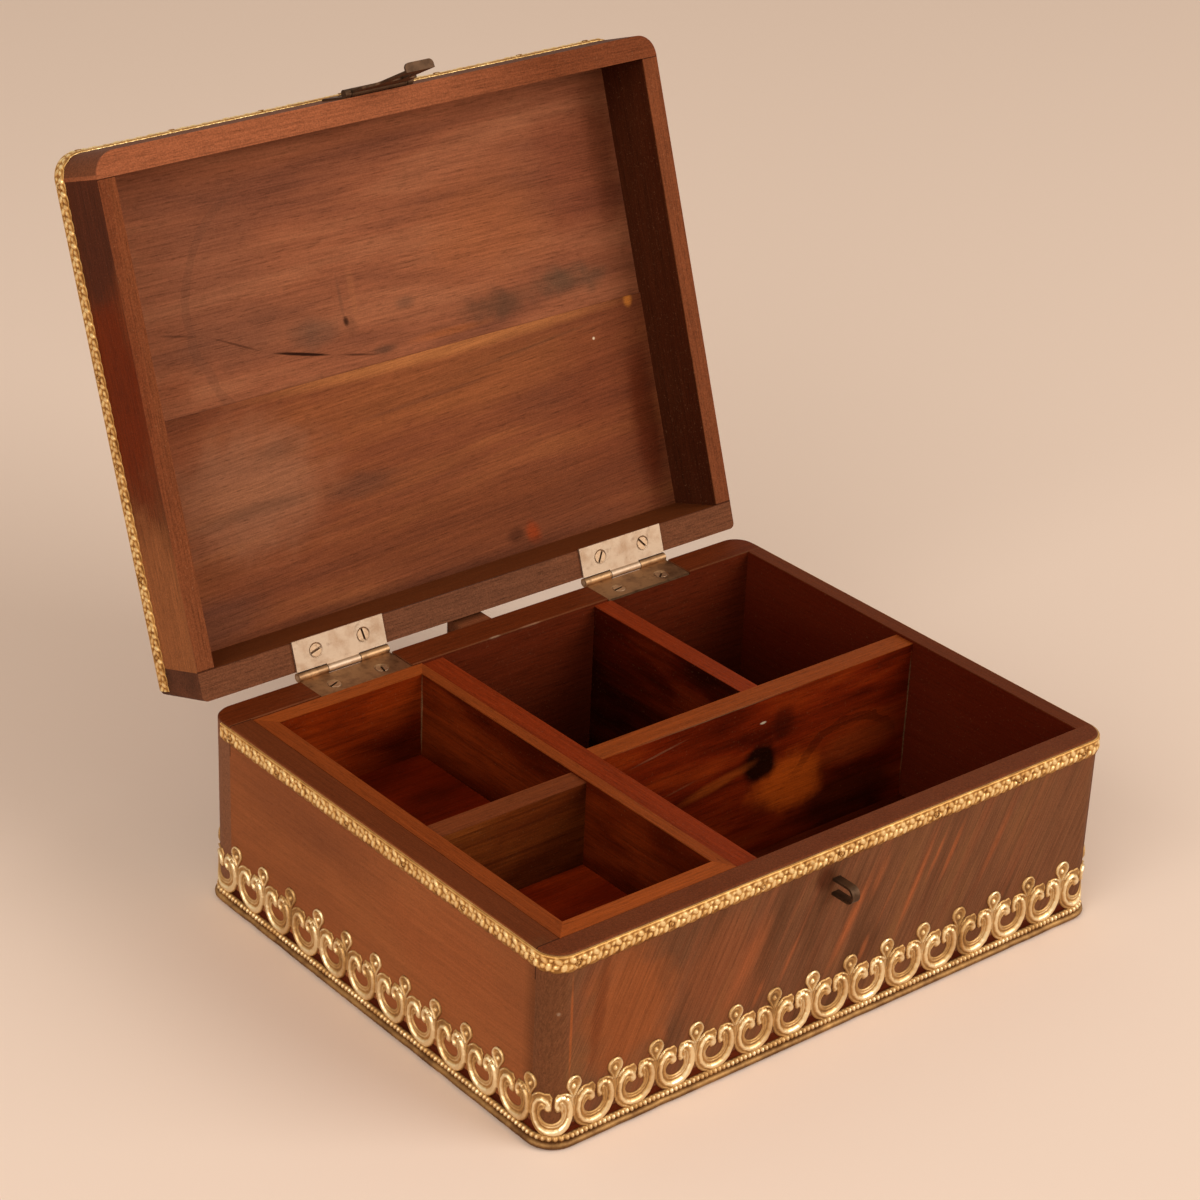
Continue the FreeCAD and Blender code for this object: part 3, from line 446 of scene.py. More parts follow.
lidRim = zone((-130, -100, 71), (130, 100, 71.9), "#7d4125", 0.8)
lidRail = wood(
    "#7c4426", "#6c381e", "#4c2512", onLid=True, seed=31.0, lines=0.4, grit=0.9, flecks=0.2,
    zones=(lidRim, zone((-130, -100, 71), (10, -85, 71.9), "#a45e3c", 0.85, 60),
           zone((-130, -100, 72.4), (130, -87, 101), "#5a3420", 0.65, 0.3)),
)
dressWood("sheeshamLidFrontRail", lidRail, "lid_front_rail")
lidBackRail = dict(lidRail, seed=32.0, light="#74422a", middle="#5c3422", dark="#46281a", spots=(
    mark((-20, 90, 71.7), (80, 14, 4), "#54372b", 0.8),
), zones=(
    zone((-130, 83.9, 71), (130, 100, 71.9), "#7c4a30", 0.75),
    zone((-113, 80, 72.2), (113, 84, 99), "#703818", 0.9),
))
dressWood("sheeshamLidBackRail", lidBackRail, "lid_back_rail")
lidSide = wood(
    "#84502e", "#794626", "#68391f", grain="y", onLid=True, seed=34.0, lines=0.15, grit=0.9, flecks=0.2,
    spots=(
        mark((-120, -16, 86), (6, 62, 30), "#662206", 0.95, shake=0.5),
        mark((-120, 66, 86), (6, 46, 30), "#955832", 0.8, shake=0.5),
        mark((-120, -80, 86), (6, 46, 30), "#4a2112", 0.95, core=0.6, shake=0.5),
    ),
    zones=(lidRim, seam((-130, -85.7, 71), (130, -85.2, 72.2)), seam((-130, 83.2, 71), (130, 83.7, 72.2))),
)
dressWood("sheeshamLidLeftRail", lidSide, "lid_left_rail")
# The right rail's inner face is painted dark: painted shade on the face turned away from the light
lidRightRail = dict(lidSide, seed=35.0, spots=(), zones=lidSide["zones"] + (
    zone((113, -85.6, 72.2), (113.6, 83.7, 99), "#3c1509", 0.9),))
dressWood("sheeshamLidRightRail", lidRightRail, "lid_right_rail")


def lidMark(x, y, along, across, colour, strength, lean=0.0, shake=0.5, core=0.35):
    # a mark on the lid's inner face, given shut: x to the right, y towards the hinges
    return mark((x, y, 95.6), (along, across, 3.6), colour, strength, turn=(0, 0, lean), shake=shake, core=core)


def lidMarks(*rows):
    return tuple(lidMark(*row) for row in rows)


lidFar = wood(
    "#a46544", "#935538", "#7a4630", onLid=True, seed=37.0, lines=0.35, lineWidth=2.4, mottleLength=110.0,
    mottleWidth=16.0,
    spots=lidMarks(
        (50, -38, 50, 30, "#9c5832", 0.5), (-75, -45, 45, 45, "#845038", 0.5),
        (95, -50, 34, 50, "#753a24", 0.6), (-60, -20, 50, 16, "#6e4431", 0.45),
        (-95, -8, 16, 10, "#84452a", 0.6),
    ) + (
        mark((-35, -28, 96.5), (48, 47, 3.2), "#66402e", 0.25, ring=0.035, ringSide=(0, 0.0, -0.7), shake=0.12),
    ) + lidMarks(
        (46, -8.5, 23, 8.0, "#563a29", 0.8, 0, 0.9, 0.3),
        (80, -10, 25, 9.0, "#54402f", 0.75, 0, 0.9, 0.3),
        (-33, -15, 15, 8, "#5c4233", 0.6), (-5, -3, 9, 2.4, "#4e3629", 0.7),
        (7, -17.5, 7, 3.5, "#5c4233", 0.45), (24, -3.2, 26, 2.4, "#a0582e", 0.6),
        (-14, -26, 2.2, 15, "#a2623e", 0.45, 0, 0.6), (-19.5, -25, 1.2, 12, "#63402e", 0.4, 0, 0.6),
        (-18.9, -16.2, 1.8, 2.6, "#2e160c", 0.95, 0, 0.7), (-17, -14, 4.5, 5, "#5c3826", 0.4),
        (-88, -26, 12, 0.7, "#4a2a1c", 0.6, 13, 0.25), (-65, -18, 15, 0.6, "#452518", 0.7, 25, 0.2),
        (-39.5, -9, 16, 0.8, "#2a120a", 1.0, 14, 0.2, 0.6),
        (-16, -3.6, 11, 0.7, "#3a1c10", 0.8, 12, 0.25),
        # the mark at x 106 is the right rail's painted shadow along the board's right end; the two at y -84 are painted
        # shade along the front rail
        (106, -55, 9, 40, "#5c2c18", 0.5, 0, 0.3), (100, -84, 40, 5, "#70402a", 0.5, 0, 0.3),
        (-40, -84, 90, 4, "#6c3e2a", 0.5, 0, 0.3),
    ),
)
dressWood("sheeshamLidFar", lidFar, "lid_front_top_board")
lidNear = wood(
    "#93532f", "#83462a", "#703c26", grain=(0, 0, 3), onLid=True, seed=41.0, lines=0.5, lineWidth=2.2,
    mottleLength=120.0, mottleWidth=14.0,
    spots=lidMarks(
        (15, 14, 110, 18, "#96552e", 0.5), (-72, 32, 46, 34, "#a06a4c", 0.6),
        (90, 40, 34, 50, "#733720", 0.45), (20, 66, 90, 18, "#71391f", 0.45),
        (20, 2, 105, 5.0, "#b06c3c", 0.8, 0, 0.2),
        (-100, 12, 20, 12, "#84462c", 0.6), (-25, 42, 24, 6.5, "#5c3a2b", 0.5, 0, 0.7),
        (-70, 40, 30, 4, "#62402f", 0.4, 0, 0.6), (-57, 21.5, 14, 4.5, "#68412d", 0.4),
        (10, 18, 50, 1.2, "#643a26", 0.5, -3, 0.3), (60, 10, 45, 0.9, "#6c4028", 0.5, -5, 0.3),
        (45, 77.5, 5, 6, "#9a3a16", 0.75, 0, 0.8), (37, 77, 6, 4, "#3e1e12", 0.6, 0, 0.8),
        (0, 84, 125, 6, "#552c1c", 0.65, 0, 0.3), (-95, 74, 30, 12, "#6a4030", 0.5),
        # the first mark here, at x 106, is the right rail's painted shadow along the board's right end; the next is an
        # orange knot
        (106, 50, 9, 42, "#5c2411", 0.75, 0, 0.4), (106.7, 2.6, 2.8, 3.8, "#d27e36", 0.95, 0, 0.5),
        (88, 13.5, 0.8, 0.8, "#e0c4a0", 1.0, 0, 0.1),
    ),
)
dressWood("sheeshamLidNear", lidNear, "lid_rear_top_board")
print("wood made")


def finishMetal(tree, place, colour, roughness, grit):
    scale, detail, height, strength = grit
    grain = noise(tree, place, scale, detail)
    bump = addNode(tree, "Bump", {"Height": grain, "Distance": height, "Strength": strength})
    finishMaterial(tree, {"Base Color": colour, "Metallic": 1.0, "Roughness": roughness, "Normal": bump.outputs[0]})


# Steel leaves with a worn brass-toned plate: pale, faintly stained, brown where dirt sits
steel = {
    "cloudScale": 160.0, "cloudStops": (0.3, 0.55), "stainScale": 420.0, "stainRange": (0.6, 0.75), "stained": 0.45,
    "grit": (1800.0, 2.0, 0.0002, 0.15),  # scale, detail, height, strength
}


def platedSteel(name, bright, dull, dirt, roughness, worn=False):
    material, tree = newMaterial(name)
    place = addNode(tree, "TexCoord").outputs["Object"]
    cloud = noise(tree, place, steel["cloudScale"], 5.0, 0.65)
    colour = ramp(tree, cloud, zip(steel["cloudStops"], (dull, bright)))
    stains = noise(tree, place, steel["stainScale"], 3.0)
    colour = mixColour(tree, remap(tree, stains, steel["stainRange"], (0.0, steel["stained"])), colour, linear(dirt))
    if worn:
        tone = addNode(tree, "Attribute", attribute_name="relief").outputs["Fac"]
        colour = mixColour(tree, tone, linear(dirt), colour)
    finishMetal(tree, place, colour, roughness, steel["grit"])
    return material


dress(platedSteel("platedSteel", "#b69c82", "#a38468", "#755840", 0.5),
      "hinge_left_lid_leaf", "hinge_right_lid_leaf", "hinge_left_pin", "hinge_right_pin")
dress(platedSteel("platedSteelDirty", "#a5815c", "#7d5c40", "#4f3724", 0.45),
      "hinge_left_base_leaf", "hinge_right_base_leaf")
screwSteel = platedSteel("screwSteel", "#b89878", "#a07c5e", "#553d2a", 0.45, worn=True)
tarnishedSteel = platedSteel("tarnishedSteel", "#5a4230", "#3a2a1e", "#241810", 0.58)
dress(tarnishedSteel, "hasp_leaf", "hasp_pin", "hasp_flap", "staple")


# Sheet brass pressed over a die: worn bright on the high parts, brown tarnish in the hollows; on the ledge the bright
# line is a painted highlight
pressed = {
    "cloudScale": 120.0, "cloud": 0.9, "wearShift": 0.45, "colourStops": (0.0, 0.42, 0.92),
    "roughStops": [(0.2, 0.6), (0.9, 0.34)],
    "grit": (1100.0, 3.0, 0.0003, 0.3),
}


def pressedBrass(name, bright, middle, tarnish):
    material, tree = newMaterial(name)
    place = addNode(tree, "TexCoord").outputs["Object"]
    relief = addNode(tree, "Attribute", attribute_name="relief").outputs["Fac"]
    cloud = noise(tree, place, pressed["cloudScale"], 5.0, 0.7)
    wear = calculate(tree, "MULTIPLY_ADD", cloud, pressed["cloud"], relief)
    wear = calculate(tree, "SUBTRACT", wear, pressed["wearShift"])
    colour = ramp(tree, wear, zip(pressed["colourStops"], (tarnish, middle, bright)))
    finishMetal(tree, place, colour, ramp(tree, wear, pressed["roughStops"]), pressed["grit"])
    return material


brass = pressedBrass("pressedBrass", "#f8e4b6", "#c0955c", "#6e4b2c")
trimBrass = pressedBrass("trimBrass", "#fae0a4", "#d0a05c", "#7c4e24")
print("metals made")


# The brass follows one path round the case, met at the middle of the front and running to the right
case = {"width": 240.0, "depth": 188.0, "corner": 8.0}
halfX, halfY, bend = case["width"] / 2, case["depth"] / 2, case["corner"]
straightX, straightY = halfX - bend, halfY - bend
quarter = bend * math.pi / 2
pathParts = [  # length, kind, start or middle, direction or first angle
    (straightX, "line", (0, -halfY), (1, 0)),
    (quarter, "bend", (straightX, -straightY), -90),
    (2 * straightY, "line", (halfX, -straightY), (0, 1)),
    (quarter, "bend", (straightX, straightY), 0),
    (2 * straightX, "line", (straightX, halfY), (-1, 0)),
    (quarter, "bend", (-straightX, straightY), 90),
    (2 * straightY, "line", (-halfX, straightY), (0, -1)),
    (quarter, "bend", (-straightX, -straightY), 180),
    (straightX, "line", (-straightX, -halfY), (1, 0)),
]
pathLength = sum(part[0] for part in pathParts)
sideEnd = straightX + quarter + 2 * straightY  # where the right side's straight run ends
woodTone = 0.1  # of the metal's points that lie on the wood


def onPath(distance, out, z, straight=False):
    if straight and abs(distance) > sideEnd:
        # past the side's end, straight on towards the back
        side = math.copysign(1, distance)
        return Vector((side * (halfX + out), straightY + abs(distance) - sideEnd, z)) * mm
    distance %= pathLength
    for length, kind, first, second in pathParts:
        if distance <= length:
            break
        distance -= length
    if kind == "line":
        x = first[0] + second[0] * distance + second[1] * out
        y = first[1] + second[1] * distance - second[0] * out
    else:
        angle = math.radians(second) + distance / bend
        x = first[0] + (bend + out) * math.cos(angle)
        y = first[1] + (bend + out) * math.sin(angle)
    return Vector((x, y, z)) * mm


def reliefMesh(name, points, faces, relief, material, body, replaced, matrix=None, flat=False):
    mesh = bpy.data.meshes.new(name)
    mesh.from_pydata([matrix @ p for p in points] if matrix else points, [], faces)
    attribute = mesh.attributes.new("relief", "FLOAT", "POINT")
    attribute.data.foreach_set("value", relief)
    mesh.materials.append(material)
    if not flat:
        mesh.shade_smooth()
    piece = bpy.data.objects.new(name, mesh)
    scene.collection.objects.link(piece)
    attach(piece, body)
    if replaced:
        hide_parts(*replaced)


def smooth(value, low, high):
    share = max(0.0, min(1.0, (value - low) / (high - low)))
    return share * share * (3 - 2 * share)


def ridge(distance, tall, middle, width):
    return tall * math.exp(-((distance - middle) / width) ** 2)


def dome(distance, radius, tall, power=0.5):
    return tall * (1 - (distance / radius) ** 2) ** power


# Scroll band, one strip wound round the case: a crescent with two curled horns, a teardrop before the next.
# A cell of it is drawn about its middle, u along and v up, with half a teardrop at either end
scroll = {
    "low": 4.7, "height": 20.9, "cellWidth": 16.55, "columns": 56, "rows": 71,
    "margin": 0.05,  # drawn past the strip's lower and upper edge
    "foot": 0.7,  # up to here the lower edge leaves the relief as it is
    "bend": 14.0,  # below this height the crescent is drawn taller
    "bendFrom": (0.95, 1.45),  # a height on the strip, and the same one in the pattern
    "taller": 1.137,
    "lift": 1.07,  # of the strip over the pattern above the bend
    "sheet": 0.2, "thinnest": 0.07, "top": 1.12,
    "rim": (0.34, 0.4, 0.24),  # a ridge: its height, its distance from the edge, its width
    "edgeHeight": 0.1, "edgeRange": (-0.1, 0.3),
    "tone": (0.16, 0.84),  # at the wood, and more at the top
    "even": 0.6,  # only what stands higher came out deeper or less deep
    "pressed": (0.8, 1.0), "wear": (0.8, 1.08), "sideWear": 0.045,
    # where each run starts along the path, as the teardrops stand in the photo, and how many cells it has
    "runs": [
        (-110.5, 13, "scrollFront", ["scroll_front"]),
        (104.7, 13, "scrollRight", ["scroll_front_right", "scroll_right", "scroll_back_right"]),
        (329.45, 13, "scrollBack", ["scroll_back", "scroll_back_left"]),
        (554.2, 10, "scrollLeft", ["scroll_left"]),
        (716.9, 1, "scrollFrontLeft", ["scroll_front_left"]),
    ],
}
crescent = {
    # ovals: middle along and up, half width and height, and the length that turns them into millimetres
    "disc": (0.0, 7.4, 8.25, 7.4, 7.6), "hole": (0.1, 7.2, 3.7, 2.6, 2.9),
    # circles: middle along and up, radius
    "lobes": ((-3.5, 10.5, 4.15), (4.3, 10.5, 4.0)), "curls": ((-0.9, 9.7, 1.45), (2.5, 9.3, 1.05)),
    "bosses": ((-0.8, 9.9, 1.2, 0.92), (2.3, 9.6, 0.8, 0.7)),  # and height
    "slit": {"along": 0.75, "at": 10, "lean": 0.05, "half": 0.3, "low": 8.0},
    "notch": {"along": 0.95, "low": 12.6, "flare": 0.7},
    "leftHorn": [(-0.8, 9.6), (-0.6, 10.6), (-1.4, 11.7), (-3.0, 12.4), (-4.7, 11.8), (-5.9, 10.0), (-6.2, 7.4),
                 (-5.4, 4.8), (-3.7, 2.8), (-1.4, 1.7), (1.0, 1.45)],
    "rightHorn": [(1.0, 1.45), (3.4, 1.8), (5.6, 3.3), (7.0, 5.7), (7.25, 8.4), (6.6, 10.9), (5.1, 12.7), (3.3, 13.1),
                  (2.0, 12.2), (1.6, 10.7), (2.3, 9.6)],
    "middle": 7.4, "hornHalf": 0.68, "hornSwell": 0.5,
    "swellAngle": 0.7,  # radians below the level
    "hornHeight": 0.92,
    "line": (0.42, 0.95, 0.28),  # a ridge inside the horns
    "lineWithin": (5.4, 1.1),  # radius, and how much wider than high
}
tear = {
    "middle": 17.0, "radius": 3.0, "tip": 11.2, "tipEnd": 16.4, "flare": 0.58,
    "web": {"half": 0.6, "low": 5.6, "high": 12.4}, "low": 12.3, "half": 3.3, "edge": (0.42, 0.5, 0.35),
    "hollow": 0.1, "hollowRange": (0.9, 1.5), "ring": (0.32, 1.75, 0.25), "ringMiddle": 16.4, "ringLow": 16.2,
    "boss": (0.85, 0.75),  # radius and height
    "bossMiddle": 16.0,
}
cellWidth = scroll["cellWidth"]


def toCircle(u, v, x, y, radius):
    return math.hypot(u - x, v - y) - radius


def toOval(u, v, x, y, halfWidth, halfHeight, size):
    return (math.hypot((u - x) / halfWidth, (v - y) / halfHeight) - 1) * size


def toLine(u, v, ax, ay, bx, by):
    dx, dy = bx - ax, by - ay
    share = max(0.0, min(1.0, ((u - ax) * dx + (v - ay) * dy) / (dx * dx + dy * dy)))
    return math.hypot(u - ax - dx * share, v - ay - dy * share)


def toStroke(u, v, line):
    return min(toLine(u, v, *a, *b) for a, b in zip(line, line[1:]))


def scrollEdge(u, v):
    # below 0 in the metal, above 0 outside it
    fromTear = cellWidth / 2 - abs(u)
    tip, web, slit, notch = tear["tip"], tear["web"], crescent["slit"], crescent["notch"]
    metal = min(
        toOval(u, v, *crescent["disc"]),
        *(toCircle(u, v, *lobe) for lobe in crescent["lobes"]),
        toCircle(fromTear, v, 0, tear["middle"], tear["radius"]),
        max(abs(fromTear) - max(0.0, (v - tip) * tear["flare"]), v - tear["tipEnd"], tip - v),
        max(fromTear - web["half"], v - web["high"], web["low"] - v),
    )
    opening = min(
        max(toOval(u, v, *crescent["hole"]), *(-toCircle(u, v, *curl) for curl in crescent["curls"])),
        max(abs(u - slit["along"] - (v - slit["at"]) * slit["lean"]) - slit["half"], slit["low"] - v),
        max(abs(u - notch["along"]) - (v - notch["low"]) * notch["flare"], notch["low"] - v),
    )
    return max(metal, -opening)


def scrollHeight(u, v, edge):
    inside = -edge
    fromTear = cellWidth / 2 - abs(u)
    sheet = scroll["sheet"]
    height = sheet + ridge(inside, *scroll["rim"])
    if v > tear["low"] and fromTear < tear["half"]:
        height += ridge(inside, *tear["edge"]) - tear["hollow"] * smooth(inside, *tear["hollowRange"])
        if v > tear["ringLow"]:
            height += ridge(math.hypot(fromTear, v - tear["ringMiddle"]), *tear["ring"])
        reach = math.hypot(fromTear, v - tear["bossMiddle"])
        if reach < tear["boss"][0]:
            height = max(height, sheet + dome(reach, *tear["boss"]))
    else:
        inner = min(toStroke(u, v, crescent["leftHorn"]), toStroke(u, v, crescent["rightHorn"]))
        fromSwell = math.atan2(v - crescent["middle"], u) + crescent["swellAngle"]
        width = crescent["hornHalf"] + crescent["hornSwell"] * max(0.0, math.cos(fromSwell)) ** 1.5
        if inner < width:
            height = max(height, sheet + dome(inner, width, crescent["hornHeight"], 0.6))
        within, wider = crescent["lineWithin"]
        if math.hypot(u / wider, v - crescent["middle"]) < within:
            height = max(height, sheet + ridge(inner - width, *crescent["line"]))
        for x, y, radius, tall in crescent["bosses"]:
            reach = math.hypot(u - x, v - y)
            if reach < radius:
                height = max(height, sheet + dome(reach, radius, tall))
    height = max(scroll["thinnest"], min(height, scroll["top"]))
    share = smooth(inside, *scroll["edgeRange"])
    return height * share + scroll["edgeHeight"] * (1 - share)


def drawnHeight(v):
    # from the strip as it stands to the height that its pattern is drawn at
    stands, drawn = scroll["bendFrom"]
    return drawn + (v - stands) / scroll["taller"] if v < scroll["bend"] else v - scroll["lift"]


def scrollCell():
    columns, rows, margin = scroll["columns"], scroll["rows"], scroll["margin"]
    xs = [-cellWidth / 2 + cellWidth * i / columns for i in range(columns + 1)]
    ys = [-margin + (scroll["height"] + 2 * margin) * j / rows for j in range(rows + 1)]
    edge = [[max(scrollEdge(x, drawnHeight(y)), -y) for y in ys] for x in xs]
    points, lookup, faces, outline = [], {}, [], []

    def corner(i, j):
        if (i, j) not in lookup:
            lookup[i, j] = len(points)
            points.append((xs[i], ys[j], edge[i][j]))
        return lookup[i, j]

    def crossing(a, b):
        key = (i, j), (k, l) = tuple(sorted((a, b)))
        if key not in lookup:
            share = edge[i][j] / (edge[i][j] - edge[k][l])
            lookup[key] = len(points)
            points.append((xs[i] + (xs[k] - xs[i]) * share, ys[j] + (ys[l] - ys[j]) * share, 0.0))
        return lookup[key]

    for i in range(columns):
        for j in range(rows):
            ring = [(i, j), (i + 1, j), (i + 1, j + 1), (i, j + 1)]
            polygon, cut = [], []
            for number, here in enumerate(ring):
                after = ring[(number + 1) % 4]
                inHere, inAfter = edge[here[0]][here[1]] < 0, edge[after[0]][after[1]] < 0
                if inHere:
                    polygon.append(corner(*here))
                if inHere != inAfter:
                    polygon.append(crossing(here, after))
                    cut.append((polygon[-1], inHere))
            if len(polygon) >= 3:
                faces.append(polygon)
                if len(cut) == 2:
                    # the crossing that leaves the metal comes first
                    outline.append((cut[0][0], cut[1][0]) if cut[0][1] else (cut[1][0], cut[0][0]))
    return points, faces, outline


cellPoints, cellFaces, cellOutline = scrollCell()
cellHeights = []
for u, v, edge in cellPoints:
    drawn = drawnHeight(v)
    cellHeights.append(scrollHeight(u, drawn, edge if v > scroll["foot"] else scrollEdge(u, drawn)))
print("scroll cell:", len(cellPoints), "points")
chance = random.Random(4)


def scrollRun(name, start, end, count, replaced):
    points, faces, relief = [], [], []
    pitch = (end - start) / count
    even, (toneLow, toneMore) = scroll["even"], scroll["tone"]
    for number in range(count):
        base = len(points)
        middle = start + (number + 0.5) * pitch
        deep = chance.uniform(*scroll["pressed"])  # how deep this one came out, and how bright it wore
        wear, side = chance.uniform(*scroll["wear"]), chance.uniform(-scroll["sideWear"], scroll["sideWear"])
        for (u, v, edge), height in zip(cellPoints, cellHeights):
            raised = height if height < even else even + (height - even) * deep
            points.append(onPath(middle + u * pitch / cellWidth, raised, scroll["low"] + v))
            relief.append(min(1.0, (toneLow + toneMore * height / scroll["top"]) * (wear + side * u)))
        faces += [[base + index for index in face] for face in cellFaces]
        back = {}
        for leaving, entering in cellOutline:
            for index in (leaving, entering):
                if index not in back:
                    u, v = cellPoints[index][:2]
                    back[index] = len(points)
                    points.append(onPath(middle + u * pitch / cellWidth, 0.0, scroll["low"] + v))
                    relief.append(woodTone)
            faces.append([base + entering, base + leaving, back[leaving], back[entering]])
    reliefMesh(name, points, faces, relief, brass, "base", replaced)


runEnds = [run[0] for run in scroll["runs"][1:]] + [scroll["runs"][0][0] + pathLength]
for (start, count, name, replaced), end in zip(scroll["runs"], runEnds):
    scrollRun(name, start, end, count, replaced)
print("scroll band made")


# Strips swept along the path: a profile across and a pattern along
def sweep(name, start, end, step, profile, material, body, replaced, matrix=None):
    count = round((end - start) / step)
    closed = end - start == pathLength
    rows = count if closed else count + 1
    points, faces, relief = [], [], []
    for i in range(rows):
        s = start + (end - start) * i / count
        line = profile(s)
        for out, z, tone in line:
            points.append(onPath(s, out, z, straight=not closed))
            relief.append(tone)
    width = len(line)
    for i in range(count):
        for j in range(width - 1):
            a, b = i * width + j, ((i + 1) % rows) * width + j
            faces.append((a, b, b + 1, a + 1))
    if not closed:
        faces.append(list(range(width - 1, -1, -1)))
        faces.append([(rows - 1) * width + j for j in range(width)])
    reliefMesh(name, points, faces, relief, material, body, replaced, matrix=matrix)


ledge = {
    "low": 0.2, "height": 2.6, "out": 2.2,
    "edgeShare": 0.35,  # of out, at its lower and upper edge
    "swellShare": 0.65, "steps": 8, "dent": 0.3, "dentPitch": 31.0, "dentBeat": 7.3, "tone": 0.04, "shine": 0.14,
    "highlightAngle": 0.55,
}


def ledgeProfile(s):
    line = [(0.0, ledge["low"], woodTone)]
    wave = max(0.0, math.sin(2 * math.pi * s / ledge["dentPitch"]) * math.sin(s / ledge["dentBeat"]))
    dent = ledge["dent"] * wave ** 2
    for i in range(ledge["steps"] + 1):
        angle = math.pi * i / ledge["steps"] - math.pi / 2
        out = ledge["out"] * (ledge["edgeShare"] + ledge["swellShare"] * math.cos(angle)) - dent * math.cos(angle)
        z = ledge["low"] + ledge["height"] * (0.5 + 0.5 * math.sin(angle))
        # the tone is a painted highlight: a bright line round the upper front of the roll
        line.append((out, z, ledge["tone"] + ledge["shine"] * max(0.0, math.cos(angle - ledge["highlightAngle"])) ** 6))
    return line + [(0.0, ledge["low"] + ledge["height"], woodTone)]


sweep("bandLedge", 0, pathLength, 1.2, ledgeProfile, brass, "base", ["band_ledge"])

beads = {
    "pitch": pathLength / round(pathLength / 1.83), "slices": 6, "steps": 8, "low": 2.7, "height": 2.2, "out": 1.6,
    "floor": 0.7, "acrossHalf": 0.9, "alongHalf": 0.42, "tone": 0.28, "shine": 0.8,
    "tall": (0.55, 1.0), "least": 0.55, "more": 0.45,
    "worn": (0.4, 0.6, 0.19),  # the least brightness, the rest of it, and how fast that comes and goes
}
beadWear = {}


def beadProfile(s):
    number = int(s // beads["pitch"])
    phase = (s / beads["pitch"]) % 1 - 0.5
    if number not in beadWear:
        least, rest, beat = beads["worn"]
        beadWear[number] = (chance.uniform(*beads["tall"]), least + rest * abs(math.sin(number * beat)))
    tall, worn = beadWear[number]
    line = [(0.0, beads["low"], woodTone)]
    for i in range(beads["steps"] + 1):
        share = i / beads["steps"]
        across = share * 2 - 1
        bead = max(0.0, 1 - (across / beads["acrossHalf"]) ** 2 - (phase / beads["alongHalf"]) ** 2) ** 0.5
        out = beads["floor"] + (beads["out"] - beads["floor"]) * bead * (beads["least"] + beads["more"] * tall)
        tone = beads["tone"] + beads["shine"] * bead * tall * worn
        line.append((out, beads["low"] + beads["height"] * share, tone))
    return line + [(0.0, beads["low"] + beads["height"], woodTone)]


sweep("beadStrip", 0, pathLength, beads["pitch"] / beads["slices"], beadProfile, brass, "base", ["bead_strip"])

# Trim strips: a slanted leaf and a small boss to each repeat, with dots between them
trim = {
    "pitch": 4.4, "slices": 11, "steps": 14, "thickness": 1.1, "sheet": 0.4,
    "base": (64.6, 6.1, sideEnd),  # low, height, end along the path
    "lid": (94.0, 6.0, sideEnd + 6.0),
    "lobe": 0.55,  # how far the lower edge swings up between its lobes
    "lobeShift": 0.3, "edgeTones": (0.75, 0.6), "tone": 0.12, "shine": 1.1,
    "line": (0.4, -0.45, 0.28),  # a ridge below the upper edge
    "shift": 0.2, "worn": (0.6, 1.0),
    # along, up, lean in degrees, half length, half width, height
    "bumps": [(-0.6, 1.05, -42, 1.65, 0.95, 1.0), (0.95, -0.95, 75, 1.6, 0.95, 1.0), (-1.15, -1.0, 25, 1.0, 0.85, 0.85),
              (1.65, 1.35, 30, 0.85, 0.65, 0.75), (2.2, -1.9, 0, 0.6, 0.5, 0.5)],
}
trimChance = {}


def trimPattern(s, up, height):
    number = math.floor(s / trim["pitch"])
    shift = trim["shift"]
    value = 0.0
    for cell in (number - 1, number, number + 1):
        if cell not in trimChance:
            trimChance[cell] = [(chance.uniform(-shift, shift), chance.uniform(-shift, shift),
                                 chance.uniform(*trim["worn"])) for _ in trim["bumps"]]
        for (along, rise, lean, long, wide, tall), (slide, lift, worn) in zip(trim["bumps"], trimChance[cell]):
            du = s - (cell + 0.5) * trim["pitch"] - along - slide
            if abs(du) > long:
                continue
            dv = up - height / 2 - rise - lift
            c, n = math.cos(math.radians(lean)), math.sin(math.radians(lean))
            reach = ((du * c + dv * n) / long) ** 2 + ((dv * c - du * n) / wide) ** 2
            if reach < 1:
                value = max(value, tall * worn * (1 - reach) ** 0.5)
    return max(value, ridge(up - height, *trim["line"]))


def trimProfile(low, height):
    def profile(s):
        lobe = trim["lobe"] * abs(math.sin(math.pi * (s / trim["pitch"] + trim["lobeShift"]))) ** 0.7
        line = [(0.0, low + trim["lobe"] - lobe, trim["edgeTones"][0])]
        for i in range(trim["steps"] + 1):
            up = trim["lobe"] - lobe + (height - trim["lobe"] + lobe) * i / trim["steps"]
            tone = trimPattern(s, up, height)
            line.append((trim["sheet"] + (trim["thickness"] - trim["sheet"]) * tone, low + up,
                         trim["tone"] + trim["shine"] * tone))
        return line + [(0.0, low + height, trim["edgeTones"][1])]
    return profile


for body, matrix in (("base", None), ("lid", lidMatrix)):
    low, height, end = trim[body]
    sweep(body + "Trim", -end, end, trim["pitch"] / trim["slices"], trimProfile(low, height), trimBrass, body,
          [body + "_trim"], matrix=matrix)
print("strips made")


# Turned pieces: nail heads and screws, each a profile of radius, height and tone spun about its own axis
def spin(profile, sides, matrix, points, faces, relief):
    first = len(points)
    for radius, height, tone in profile:
        for i in range(sides):
            angle = 2 * math.pi * i / sides
            points.append(matrix @ Vector((radius * math.cos(angle), radius * math.sin(angle), height)))
            relief.append(tone)
    for ring in range(len(profile) - 1):
        for i in range(sides):
            a, b = first + ring * sides + i, first + ring * sides + (i + 1) % sides
            faces.append((a, b, b + sides, a + sides))
    faces.append([first + (len(profile) - 1) * sides + i for i in range(sides)])


def facing(place, normal):
    turn = Vector(normal).to_track_quat("Z", "Y").to_matrix().to_4x4()
    return Matrix.Scale(mm, 4) @ Matrix.Translation(place) @ turn


